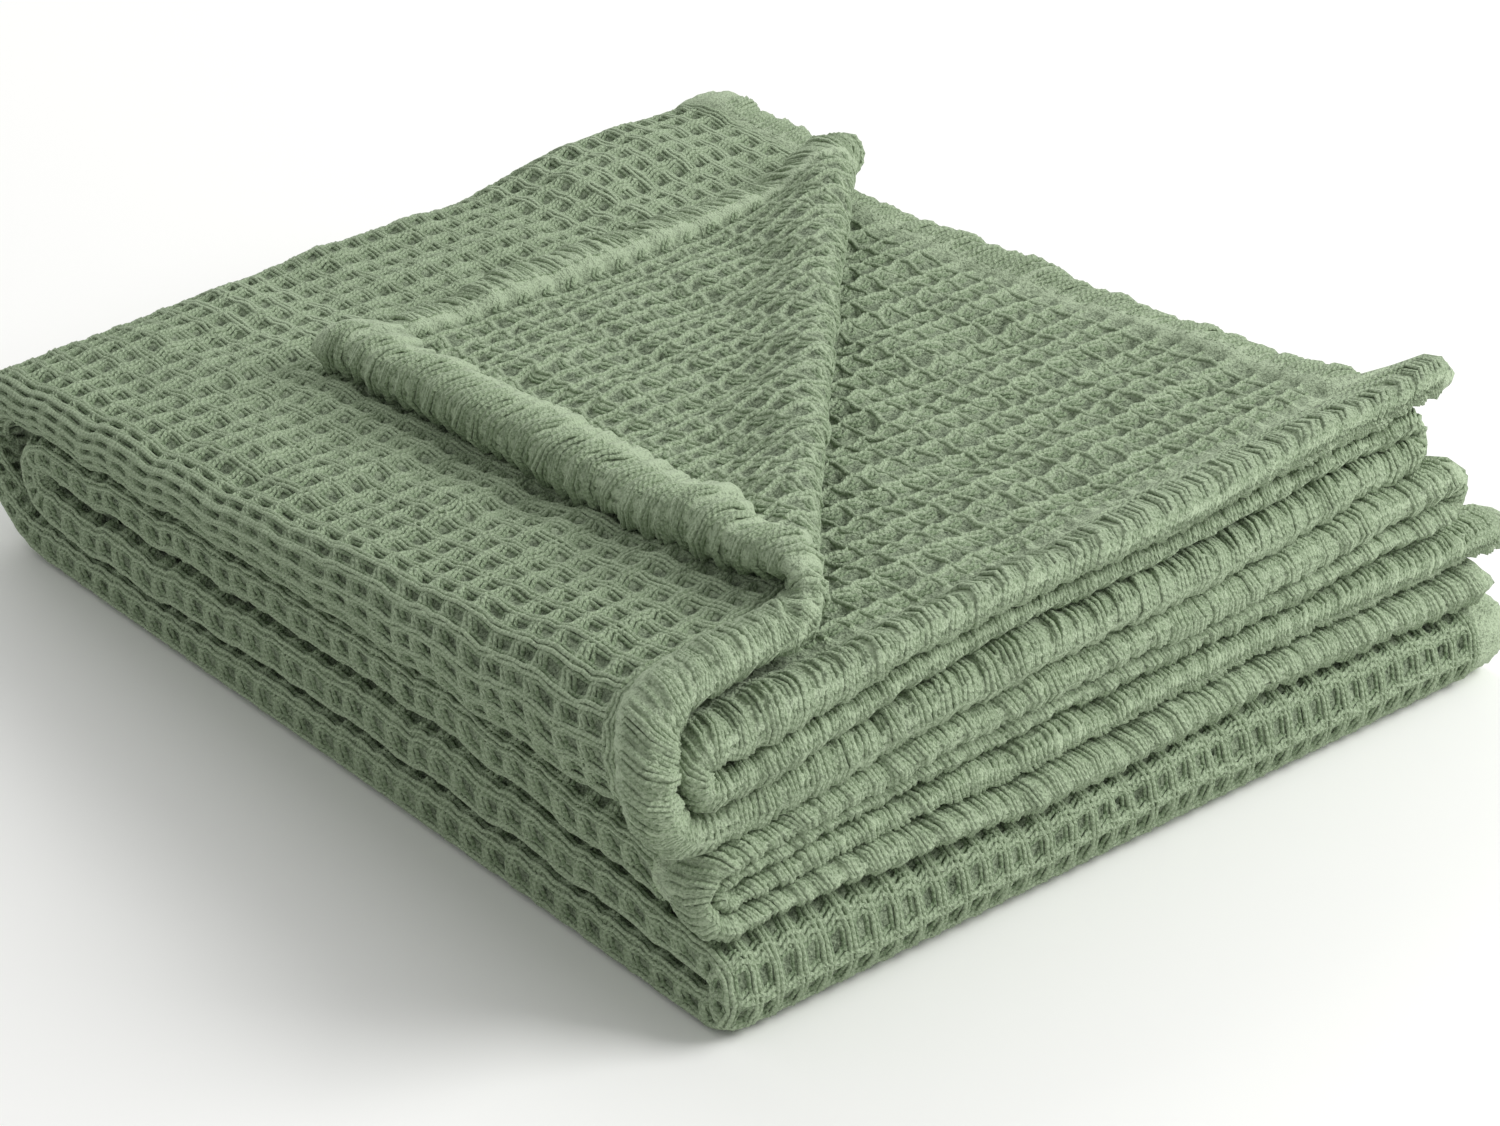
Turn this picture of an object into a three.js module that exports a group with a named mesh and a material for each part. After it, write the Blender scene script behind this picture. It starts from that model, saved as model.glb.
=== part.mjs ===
// Folded waffle-weave cotton throw: one woven panel with turned hems, folded in four
// lengthways and in four crossways, with one corner of the top layer turned back.
// Millimetres, +Z up. +X runs from the rounded near side to the free ends of the cloth,
// +Y from the stacked hems at the front to the fold at the back.
import * as THREE from 'three';

// Folded stack and its cloth
const STACK_Y = 413;
const MIDDLE = { x: 160.3, y: 207.26 };
const CLOTH_THICK = 2.8;

// Hems: width of the turned band and its most thickness, in the stack and where it lies
// free on the turned-back corner; rounding of the cloth's edge
const FRONT_HEM = { wide: 20, most: 13, freeWide: 24, free: 15 };
const END_HEM = { wide: 18, most: 8, freeWide: 18, free: 8 };
const HEM_FILL = { front: 0.82, end: 0.66 };
const EDGE_ROUND = 6;

// The cloth crosses the stack four times: a is the outer layer, d the inner one.
// share: place of a layer in its bundle (1 = outside), bead: hem thickness for a 34 mm bundle
const LAYERS = {
  a: { share: 0.869, bead: 12 },
  b: { share: 0.615, bead: 11.6 },
  c: { share: 0.385, bead: 8.6 },
  d: { share: 0.15, bead: 13 },
};
const BEAD_BUNDLE = 34;
const SHARE_SPREAD = LAYERS.a.share - LAYERS.d.share;

// Mid-cloth height of layers a and d in each bundle, [front, middle, back]
const ROW_Y = [8, 150, 390];
const COLUMN_X = [0, 110, 310];
const HEIGHTS = {
  top: {
    a: { near: [108, 92, 69], centre: [114, 95, 78], right: [121, 104, 86] },
    d: { near: [65, 66, 56.5], centre: [82, 70, 61], right: [89, 76, 66] },
  },
  second: {
    d: { near: [54, 60, 51.5], centre: [69, 63, 56], right: [75, 69, 61] },
    a: { near: [34, 43, 38], centre: [36, 41, 40], right: [36, 42, 43] },
  },
  third: {
    a: { near: [28.5, 37, 30.5], centre: [28, 35, 31], right: [27.5, 33, 32] },
    d: { near: [17.5, 22, 18], centre: [17.2, 20.5, 18.5], right: [17, 19, 19] },
  },
  bottom: {
    d: { near: [12, 16.5, 13.5], centre: [12, 15, 13.8], right: [12, 14, 14] },
    a: { near: [1.4, 1.4, 1.4], centre: [1.4, 1.4, 1.4], right: [1.4, 1.4, 1.4] },
  },
};

// Loose rise of the outer layer behind the turned-back corner
const LIFT = { rise: 9, x: [195, 250], y: [295, 370] };

// Outermost place of each bundle at the rounded near side and of its layers at the free
// ends, [front, back]; loop is the turn between layers c and d
const SIDES = {
  top: { near: [-16, -3], a: [326, 312], b: [286, 316], loop: [296, 314] },
  second: { near: [-1, 0], a: [324, 322], b: [312, 318], loop: [311, 316] },
  third: { near: [2, 1], a: [330, 328], b: [326, 324], loop: [326, 326] },
  bottom: { near: [3, 3], a: [331, 330], b: [327, 326], loop: [328, 327] },
};

// Where each hem lies at the front, [near, centre, right]
const HEM_LINES = {
  top: { a: [14, 28.5, 57], b: [8, 4, 18], c: [6, 7, 17], d: [10, 1, 13] },
  second: { a: [6, 2, 4], b: [8, 5, 6], c: [9, 7, 8], d: [7, 3, 6] },
};

// Two hem corners poke out at the free end: fully as deep as the first distance from the
// hem's edge, not at all from the second
const FINGERS = { top: 28, second: 28 };
const FINGER_REACH = [11, 26];

// Depth in the stack at which a front hem is looked up across it
const HEM_DEPTH = 20;

// Back folds and front crease: where each turn starts, which way it swings and how far its
// outermost layer reaches
const FOLDS = {
  backOuter: { from: 'top', to: 'bottom', at: 374, way: 1, reach: 38, outermost: 'a' },
  frontCrease: { from: 'bottom', to: 'third', at: 14, way: -1, reach: 12.5, outermost: 'a' },
  backInner: { from: 'third', to: 'second', at: 366, way: 1, reach: 17, outermost: 'd' },
};
const NEAR_ROUND = 0.9;

// Hems are squeezed a little where they turn
const TURN_PINCH = 0.15;

// Turned-back corner: the fold line from the front hem to the free end, bend radius at its
// start, middle and end, and how far from the bend the flap settles on the cloth below
const CORNER = { from: [44, 28.5], to: [299, 301.5], radii: [6, 6, 8.5], settle: 16 };
const REST_GAP = 1.4;
const CORNER_LONG = Math.hypot(CORNER.to[0] - CORNER.from[0], CORNER.to[1] - CORNER.from[1]);
const CORNER_WAY = [0, 1].map((k) => (CORNER.to[k] - CORNER.from[k]) / CORNER_LONG);

// How finely the cloth is divided
const STEPS = { topAcross: 15, topAlong: 18, second: 6, run: 5, outerTurn: 6, turn: 4 };
const HEM_RINGS = [0, 0.1, 0.3, 0.65, 1];

const COTTON = new THREE.MeshStandardMaterial({ color: 0x8fa585, roughness: 0.95, metalness: 0 });

const { lerp, clamp, smoothstep } = THREE.MathUtils;

// Path of the cloth across the stack and along it
const ACROSS = [
  { run: 'a', from: 'end', to: 'near' },
  { turn: 'near', from: 'a', to: 'd' },
  { run: 'd', from: 'near', to: 'loop' },
  { turn: 'loop', from: 'd', to: 'c' },
  { run: 'c', from: 'loop', to: 'near' },
  { turn: 'near', from: 'c', to: 'b' },
  { run: 'b', from: 'near', to: 'end' },
];
const ALONG = [
  { run: 'top', from: 'hem', to: FOLDS.backOuter.at },
  { turn: FOLDS.backOuter },
  { run: 'bottom', from: FOLDS.backOuter.at, to: FOLDS.frontCrease.at },
  { turn: FOLDS.frontCrease },
  { run: 'third', from: FOLDS.frontCrease.at, to: FOLDS.backInner.at },
  { turn: FOLDS.backInner },
  { run: 'second', from: FOLDS.backInner.at, to: 'hem' },
];

// Smooth curve through three values at three knots, level beyond them
function through3(values, knots, at) {
  const slopes = [0, 1].map((k) => (values[k + 1] - values[k]) / (knots[k + 1] - knots[k]));
  const bend = slopes[0] * slopes[1] > 0 ? 2 * slopes[0] * slopes[1] / (slopes[0] + slopes[1]) : 0;
  const half = at < knots[1] ? 0 : 1;
  const span = knots[half + 1] - knots[half];
  const t = clamp((at - knots[half]) / span, 0, 1);
  const leave = (half === 0 ? slopes[0] : bend) * span;
  const reach = (half === 0 ? bend : slopes[1]) * span;
  const rise = values[half + 1] - values[half];
  const cubic = leave + reach - 2 * rise;
  return values[half] + t * (leave + t * (rise - leave - cubic + t * cubic));
}

function layerHeight(bundle, letter, x, y) {
  const table = HEIGHTS[bundle][letter];
  const loose = bundle === 'top' && letter === 'a' ? LIFT.rise : 0;
  const lift = loose * smoothstep(x, LIFT.x[0], LIFT.x[1]) * smoothstep(y, LIFT.y[0], LIFT.y[1]);
  const rows = [table.near, table.centre, table.right].map((column) => through3(column, ROW_Y, y));
  return through3(rows, COLUMN_X, x) + lift;
}

function bundleHeight(bundle, share, x, y) {
  const outer = layerHeight(bundle, 'a', x, y);
  const inner = layerHeight(bundle, 'd', x, y);
  return lerp(inner, outer, (share - LAYERS.d.share) / SHARE_SPREAD);
}

function bundleDepth(bundle, x, y) {
  return Math.abs(layerHeight(bundle, 'a', x, y) - layerHeight(bundle, 'd', x, y));
}

function alongDepth(pair, y) {
  return lerp(pair[0], pair[1], clamp(y / STACK_Y, 0, 1));
}

// Front hem line of a bundle at any share between its layers
function hemLine(bundle, share, x) {
  const shares = ['d', 'c', 'b', 'a'].map((letter) => LAYERS[letter].share);
  const lines = ['d', 'c', 'b', 'a'].map((letter) => through3(HEM_LINES[bundle][letter], COLUMN_X, x));
  let low = 0;
  while (low < 2 && share > shares[low + 1]) {
    low += 1;
  }
  const part = clamp((share - shares[low]) / (shares[low + 1] - shares[low]), 0, 1);
  return lerp(lines[low], lines[low + 1], part);
}

// Share, x, bead size and distance from the cloth's end at one place across a bundle
function acrossPlace(sigma, bundle, y, frontEdge) {
  const piece = Math.min(Math.floor(sigma), ACROSS.length - 1);
  const part = sigma - piece;
  const { run, turn, from, to } = ACROSS[piece];
  const sides = SIDES[bundle];
  const nearDepth = bundleDepth(bundle, COLUMN_X[0], y);
  const nearCentre = alongDepth(sides.near, y) + CLOTH_THICK / 2 + nearDepth * NEAR_ROUND / 2;
  const loopDepth = bundleDepth(bundle, COLUMN_X[2], y) * (LAYERS.c.share - LAYERS.d.share) / SHARE_SPREAD;
  const loopCentre = alongDepth(sides.loop, y) - CLOTH_THICK / 2 - loopDepth / 2;
  if (turn) {
    const angle = Math.PI * part;
    const mix = (1 - Math.cos(angle)) / 2;
    const share = lerp(LAYERS[from].share, LAYERS[to].share, mix);
    const tight = 1 - TURN_PINCH * Math.sin(angle);
    const bead = lerp(LAYERS[from].bead, LAYERS[to].bead, mix) * tight;
    const step = Math.abs(LAYERS[from].share - LAYERS[to].share) / SHARE_SPREAD;
    const swing = turn === 'loop' ? loopDepth / 2 : -nearDepth * step * NEAR_ROUND / 2;
    const centre = turn === 'loop' ? loopCentre : nearCentre;
    return { share, bead, x: centre + swing * Math.sin(angle), endEdge: Infinity };
  }
  const { share, bead } = LAYERS[run];
  const places = { near: nearCentre, loop: loopCentre };
  if (from === 'end' || to === 'end') {
    const finger = run === 'b' && FINGERS[bundle] && frontEdge < FINGER_REACH[1];
    const poke = finger ? FINGERS[bundle] * (1 - smoothstep(frontEdge, ...FINGER_REACH)) : 0;
    places.end = alongDepth(sides[run], y) + poke;
  }
  const x = lerp(places[from], places[to], part);
  const endEdge = places.end === undefined ? Infinity : Math.abs(places.end - x);
  return { share, bead, x, endEdge, isTop: run === 'a' && bundle === 'top' };
}

function hemBand(edge, wide) {
  return 1 - smoothstep(edge, wide * 0.7, wide);
}

function edgeRound(edge) {
  return edge >= EDGE_ROUND ? 1 : Math.sqrt(1 - (1 - edge / EDGE_ROUND) ** 2);
}

// Thickness of cloth and hems at given distances from the front and end edges, and the
// body of the hem before its edge is rounded
function clothThick(place, bundle, x, y, frontEdge) {
  const depth = bundleDepth(bundle, x, y);
  const past = place.isTop ? pastFold(x, y) : -Infinity;
  const radius = foldRadius(x - Math.max(past, 0) * CORNER_WAY[1]);
  const free = smoothstep(past, Math.PI * radius, Math.PI * radius + 20);
  const bent = smoothstep(past, -15, 0) * (1 - free);
  const bead = (hem, room) => {
    const stacked = Math.min(clamp(room, CLOTH_THICK, hem.most), lerp(hem.most, 1.7 * radius, bent));
    return lerp(stacked, hem.free, free);
  };
  const band = (hem, edge) => hemBand(edge, lerp(hem.wide, hem.freeWide, free));
  const front = bead(FRONT_HEM, place.bead * HEM_FILL.front * depth / BEAD_BUNDLE);
  const layerRoom = (LAYERS.a.share - LAYERS.b.share) / SHARE_SPREAD * depth;
  const end = bead(END_HEM, bundle === 'bottom' ? CLOTH_THICK : layerRoom * HEM_FILL.end);
  const onFront = lerp(CLOTH_THICK, front, band(FRONT_HEM, frontEdge));
  const onEnd = lerp(CLOTH_THICK, end, band(END_HEM, place.endEdge));
  const body = Math.max(onFront, onEnd);
  return { body, thick: body * edgeRound(frontEdge) * edgeRound(place.endEdge) };
}

// Distance of a place past the corner's fold line
function pastFold(x, y) {
  return (x - CORNER.from[0]) * CORNER_WAY[1] - (y - CORNER.from[1]) * CORNER_WAY[0];
}

function foldRadius(x) {
  const middle = (CORNER.from[0] + CORNER.to[0]) / 2;
  return through3(CORNER.radii, [CORNER.from[0], middle, CORNER.to[0]], x);
}

// Turns the corner of the top layer back over the fold line
function turnBack(point, body) {
  const past = pastFold(point.x, point.y);
  if (past <= 0) {
    return point;
  }
  const footX = point.x - past * CORNER_WAY[1];
  const footY = point.y + past * CORNER_WAY[0];
  const radius = foldRadius(footX);
  const bend = Math.PI * radius;
  const bent = Math.min(past, bend);
  const beyond = past - bent;
  const settled = 1 - Math.exp(-((beyond / CORNER.settle) ** 2));
  const rest = CLOTH_THICK / 2 + REST_GAP + body / 2;
  const reach = radius * Math.sin(bent / radius) - beyond;
  const lift = lerp(radius * (1 - Math.cos(bent / radius)), rest, settled);
  const x = footX + reach * CORNER_WAY[1];
  const y = footY - reach * CORNER_WAY[0];
  return { x, y, z: layerHeight('top', 'a', x, y) + lift };
}

// Middle of the cloth and its thickness at one place across (sigma) and along (tau)
function clothAt(sigma, tau) {
  const piece = Math.min(Math.floor(tau), ALONG.length - 1);
  const part = tau - piece;
  const { run, turn, from, to } = ALONG[piece];
  if (turn) {
    const p = acrossPlace(sigma, turn.from, turn.at, Infinity);
    const q = acrossPlace(sigma, turn.to, turn.at, Infinity);
    const zp = bundleHeight(turn.from, p.share, p.x, turn.at);
    const zq = bundleHeight(turn.to, q.share, q.x, turn.at);
    const mix = (1 - Math.cos(Math.PI * part)) / 2;
    const x = lerp(p.x, q.x, mix);
    const z = lerp(zp, zq, mix);
    const widest = bundleHeight(turn.from, LAYERS[turn.outermost].share, p.x, turn.at)
      - bundleHeight(turn.to, LAYERS[turn.outermost].share, q.x, turn.at);
    const reach = turn.reach * (zp - zq) / widest;
    const y = turn.at + turn.way * reach * Math.sin(Math.PI * part);
    const thickP = clothThick(p, turn.from, p.x, turn.at, Infinity).thick;
    const thickQ = clothThick(q, turn.to, q.x, turn.at, Infinity).thick;
    return { point: { x, y, z }, thick: lerp(thickP, thickQ, mix) };
  }
  const hemmed = from === 'hem' || to === 'hem';
  const across = acrossPlace(sigma, run, HEM_DEPTH, Infinity);
  const front = hemmed ? hemLine(run, across.share, across.x) : 0;
  const y = lerp(from === 'hem' ? front : from, to === 'hem' ? front : to, part);
  const frontEdge = hemmed ? y - front : Infinity;
  const place = acrossPlace(sigma, run, y, frontEdge);
  const point = { x: place.x, y, z: bundleHeight(run, place.share, place.x, y) };
  const { body, thick } = clothThick(place, run, place.x, y, frontEdge);
  return { point: place.isTop ? turnBack(point, body) : point, thick };
}

// Stops along a path: hem rings at a free edge, even steps elsewhere
function stops(counts, hemAtStart, hemAtEnd, hemWide) {
  const list = [];
  const nominal = 330;
  const rings = HEM_RINGS.map((ring) => ring * hemWide / nominal);
  const last = counts.length - 1;
  counts.forEach((count, piece) => {
    const first = piece === 0 && hemAtStart ? rings.at(-1) : 0;
    const end = piece === last && hemAtEnd ? 1 - rings.at(-1) : 1;
    if (first > 0) {
      rings.slice(0, -1).forEach((ring) => list.push(piece + ring));
    }
    for (let k = 0; k < count; k += 1) {
      list.push(piece + lerp(first, end, k / count));
    }
    if (end < 1) {
      rings.toReversed().forEach((ring) => list.push(piece + 1 - ring));
    }
  });
  return list;
}

// Closed skin: both faces of the cloth, sharing one line of corners round its edge
function clothGeometry() {
  const { topAcross, topAlong, second, run, outerTurn, turn } = STEPS;
  const across = stops([topAcross, outerTurn, run, turn, run, turn, second], true, true, END_HEM.wide);
  const along = stops([topAlong, outerTurn, run, turn, run, turn, run], true, true, FRONT_HEM.wide);
  const lastI = across.length - 1;
  const lastJ = along.length - 1;
  const nudge = 0.002;
  const positions = [];
  const placeAt = (sigma, tau) => {
    const { x, y, z } = clothAt(clamp(sigma, 0, ACROSS.length), clamp(tau, 0, ALONG.length)).point;
    return new THREE.Vector3(x - MIDDLE.x, y - MIDDLE.y, z);
  };
  const addCorner = (v) => {
    positions.push(v.x, v.y, v.z);
    return positions.length / 3 - 1;
  };
  const upper = across.map(() => []);
  const lower = across.map(() => []);
  across.forEach((sigma, i) => {
    along.forEach((tau, j) => {
      const centre = placeAt(sigma, tau);
      if (i === 0 || j === 0 || i === lastI || j === lastJ) {
        upper[i][j] = addCorner(centre);
        lower[i][j] = upper[i][j];
        return;
      }
      const onAcross = placeAt(sigma + nudge, tau).sub(placeAt(sigma - nudge, tau));
      const onAlong = placeAt(sigma, tau + nudge).sub(placeAt(sigma, tau - nudge));
      const normal = onAlong.cross(onAcross).normalize();
      const half = clothAt(sigma, tau).thick / 2;
      upper[i][j] = addCorner(centre.clone().addScaledVector(normal, half));
      lower[i][j] = addCorner(centre.clone().addScaledVector(normal, -half));
    });
  });
  const triangles = [];
  for (let i = 0; i < lastI; i += 1) {
    for (let j = 0; j < lastJ; j += 1) {
      const quad = (side) => [side[i][j], side[i][j + 1], side[i + 1][j + 1], side[i + 1][j]];
      const [p, q, r, s] = quad(upper);
      const [k, l, m, n] = quad(lower);
      const atFreeCorner = (i === 0 && j === 0) || (i === lastI - 1 && j === lastJ - 1);
      if (atFreeCorner) {
        triangles.push(p, q, r, p, r, s, k, m, l, k, n, m);
      } else {
        triangles.push(p, q, s, q, r, s, k, n, l, l, n, m);
      }
    }
  }
  const geometry = new THREE.BufferGeometry();
  geometry.setAttribute('position', new THREE.Float32BufferAttribute(positions, 3));
  geometry.setIndex(triangles);
  geometry.computeVertexNormals();
  return geometry;
}

const throwMesh = new THREE.Mesh(clothGeometry(), COTTON);
throwMesh.name = 'folded_throw';

const part = new THREE.Group();
part.name = 'waffle_throw';
part.add(throwMesh);

export default part;
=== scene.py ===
import math

import bpy
import numpy as np
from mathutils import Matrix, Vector


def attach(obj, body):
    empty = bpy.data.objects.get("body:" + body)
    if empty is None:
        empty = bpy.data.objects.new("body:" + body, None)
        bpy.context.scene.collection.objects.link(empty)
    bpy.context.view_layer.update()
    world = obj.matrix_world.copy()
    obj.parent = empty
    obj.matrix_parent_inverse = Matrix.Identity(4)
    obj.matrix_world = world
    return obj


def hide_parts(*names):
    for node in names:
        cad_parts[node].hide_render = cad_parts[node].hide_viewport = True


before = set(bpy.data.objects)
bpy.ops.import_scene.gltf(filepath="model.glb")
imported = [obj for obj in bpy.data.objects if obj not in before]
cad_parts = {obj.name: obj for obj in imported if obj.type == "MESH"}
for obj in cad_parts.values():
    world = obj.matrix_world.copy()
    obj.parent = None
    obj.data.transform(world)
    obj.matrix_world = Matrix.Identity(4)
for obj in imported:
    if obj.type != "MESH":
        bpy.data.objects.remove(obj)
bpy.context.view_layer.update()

MM = 0.001

# Folded stack and its cloth, with the part's origin in the stack's own measure
STACK_Y = 413.0
MIDDLE = np.array([160.3, 207.26, 0.0])
CLOTH_THICK = 2.8

# Hems: width and greatest thickness, in the stack and free on the turned-back corner, the share of the room
# between layers that they fill, the share of their width before they taper, and how far in their rim is round
FRONT_HEM = {"wide": 20.0, "most": 13.0, "free_wide": 24.0, "free": 15.0}
END_HEM = {"wide": 18.0, "most": 8.0, "free_wide": 18.0, "free": 8.0}
HEM_FILL = {"front": 0.82, "end": 0.66}
HEM_TAPER = 0.7
EDGE_ROUND = 6.0

# The cloth crosses the stack four times: a is the outer layer, d the inner one
LAYERS = {
    "a": {"share": 0.869, "bead": 12.0},
    "b": {"share": 0.615, "bead": 11.6},
    "c": {"share": 0.385, "bead": 8.6},
    "d": {"share": 0.15, "bead": 13.0},
}
# Depth of a bundle in which the hems have their full bead
BEAD_BUNDLE = 34.0
SHARE_SPREAD = LAYERS["a"]["share"] - LAYERS["d"]["share"]

# Mid-cloth height of layers a and d in each bundle, [front, middle, back] in three columns
ROW_Y = (8.0, 150.0, 390.0)
COLUMN_X = (0.0, 110.0, 310.0)
HEIGHTS = {
    "top": {
        "a": ((108, 92, 69), (114, 95, 78), (121, 104, 86)),
        "d": ((65, 66, 56.5), (82, 70, 61), (89, 76, 66)),
    },
    "second": {
        "d": ((54, 60, 51.5), (69, 63, 56), (75, 69, 61)),
        "a": ((34, 43, 38), (36, 41, 40), (36, 42, 43)),
    },
    "third": {
        "a": ((28.5, 37, 30.5), (28, 35, 31), (27.5, 33, 32)),
        "d": ((17.5, 22, 18), (17.2, 20.5, 18.5), (17, 19, 19)),
    },
    "bottom": {
        "d": ((12, 16.5, 13.5), (12, 15, 13.8), (12, 14, 14)),
        "a": ((1.4, 1.4, 1.4), (1.4, 1.4, 1.4), (1.4, 1.4, 1.4)),
    },
}
# Rise of the top layer towards its free back corner
LIFT = {"rise": 9.0, "x": (195.0, 250.0), "y": (295.0, 370.0)}

# Outermost place of each bundle at the near side and of its layers at the free ends, [front, back]
SIDES = {
    "top": {"near": (-16, -3), "a": (326, 312), "b": (286, 316), "loop": (296, 314)},
    "second": {"near": (-1, 0), "a": (324, 322), "b": (312, 318), "loop": (311, 316)},
    "third": {"near": (2, 1), "a": (330, 328), "b": (326, 324), "loop": (326, 326)},
    "bottom": {"near": (3, 3), "a": (331, 330), "b": (327, 326), "loop": (328, 327)},
}
# Front hem line of each layer in the three columns, and the depth at which its sides are read for it
HEM_LINES = {
    "top": {"a": (14, 28.5, 57), "b": (8, 4, 18), "c": (6, 7, 17), "d": (10, 1, 13)},
    "second": {"a": (6, 2, 4), "b": (8, 5, 6), "c": (9, 7, 8), "d": (7, 3, 6)},
}
HEM_DEPTH = 20.0
# Hem corners that poke out at the free end: how far, over what depth that fades, and the radius of the tip
FINGERS = {"top": 28.0, "second": 28.0}
FINGER_REACH = (13.0, 18.0)
FINGER_TIP = 6.5
# Folds along the stack: the bundles that they join, where they begin, which way and how far they reach, and
# the layer that lies outermost in them
FOLDS = {
    "back": {"ends": ("top", "bottom"), "at": 374.0, "way": 1, "reach": 38.0, "outermost": "a"},
    "crease": {"ends": ("bottom", "third"), "at": 14.0, "way": -1, "reach": 12.5, "outermost": "a"},
    "back_inside": {"ends": ("third", "second"), "at": 366.0, "way": 1, "reach": 17.0, "outermost": "d"},
}
# How round the near side is for its depth, and how much its turns squeeze a hem
NEAR_ROUND = 0.9
TURN_PINCH = 0.15

# Turned-back corner: fold line from the front hem to the free end, its bend, the length over which the flap
# settles past it, and the lengths over which a hem thins before the bend and fills out after it
CORNER = {"start": (44.0, 28.5), "stop": (299.0, 301.5), "radii": (6.0, 6.0, 8.5), "settle": 16.0,
          "thins": 15.0, "fills": 20.0}
HEM_IN_BEND = 1.7
REST_GAP = 1.4
FAR_FROM_FOLD = -1e6
CORNER_SPAN = np.subtract(CORNER["stop"], CORNER["start"])
CORNER_WAY = CORNER_SPAN / np.hypot(*CORNER_SPAN)

# Path of the cloth across the stack and along it: (kind, name, from, to, waffle cells)
ACROSS = (
    ("run", "a", "end", "near", 35),
    ("turn", "near", "a", "d", 7),
    ("run", "d", "near", "loop", 33),
    ("turn", "loop", "d", "c", 1),
    ("run", "c", "loop", "near", 33),
    ("turn", "near", "c", "b", 2),
    ("run", "b", "near", "end", 33),
)
ALONG = (
    ("run", "top", "hem", "back", 31),
    ("turn", "back", None, None, 11),
    ("run", "bottom", "back", "crease", 32),
    ("turn", "crease", None, None, 4),
    ("run", "third", "crease", "back_inside", 31),
    ("turn", "back_inside", None, None, 5),
    ("run", "second", "back_inside", "hem", 32),
)
# Place in the path across of the outer turn round the near side
NEAR_TURN = 1


def lerp(a, b, t):
    return a + (b - a) * t


def soft_step(value, low, high):
    t = np.clip((np.asarray(value, float) - low) / (high - low), 0.0, 1.0)
    return t * t * (3.0 - 2.0 * t)


def through3(values, knots, at):
    """Smooth curve through three values at three knots, level beyond them."""
    first, middle, last = (np.asarray(v, float) for v in values)
    slope_0 = (middle - first) / (knots[1] - knots[0])
    slope_1 = (last - middle) / (knots[2] - knots[1])
    product = slope_0 * slope_1
    total = np.where(product > 0, slope_0 + slope_1, 1.0)
    bend = np.where(product > 0, 2.0 * product / total, 0.0)
    low = at < knots[1]
    span = np.where(low, knots[1] - knots[0], knots[2] - knots[1])
    begin = np.where(low, knots[0], knots[1])
    t = np.clip((at - begin) / span, 0.0, 1.0)
    leave = np.where(low, slope_0, bend) * span
    reach = np.where(low, bend, slope_1) * span
    base = np.where(low, first, middle)
    rise = np.where(low, middle - first, last - middle)
    cubic = leave + reach - 2.0 * rise
    return base + t * (leave + t * (rise - leave - cubic + t * cubic))


def layer_height(bundle, letter, x, y):
    rows = [through3(column, ROW_Y, y) for column in HEIGHTS[bundle][letter]]
    height = through3(rows, COLUMN_X, x)
    if bundle == "top" and letter == "a":
        height = height + LIFT["rise"] * soft_step(x, *LIFT["x"]) * soft_step(y, *LIFT["y"])
    return height


def bundle_height(bundle, share, x, y):
    inner = layer_height(bundle, "d", x, y)
    outer = layer_height(bundle, "a", x, y)
    return lerp(inner, outer, (share - LAYERS["d"]["share"]) / SHARE_SPREAD)


def bundle_depth(bundle, x, y):
    return np.abs(layer_height(bundle, "a", x, y) - layer_height(bundle, "d", x, y))


def along_depth(pair, y):
    return lerp(pair[0], pair[1], np.clip(y / STACK_Y, 0.0, 1.0))


def hem_line(bundle, share, x):
    """Front hem line of a bundle at any share between its layers."""
    shares = [LAYERS[letter]["share"] for letter in "dcba"]
    lines = [through3(HEM_LINES[bundle][letter], COLUMN_X, x) for letter in "dcba"]
    low = np.where(share > shares[2], 2, np.where(share > shares[1], 1, 0))
    start = np.choose(low, shares[:3])
    stop = np.choose(low, shares[1:])
    part = np.clip((share - start) / (stop - start), 0.0, 1.0)
    return lerp(np.choose(low, lines[:3]), np.choose(low, lines[1:]), part)


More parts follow.
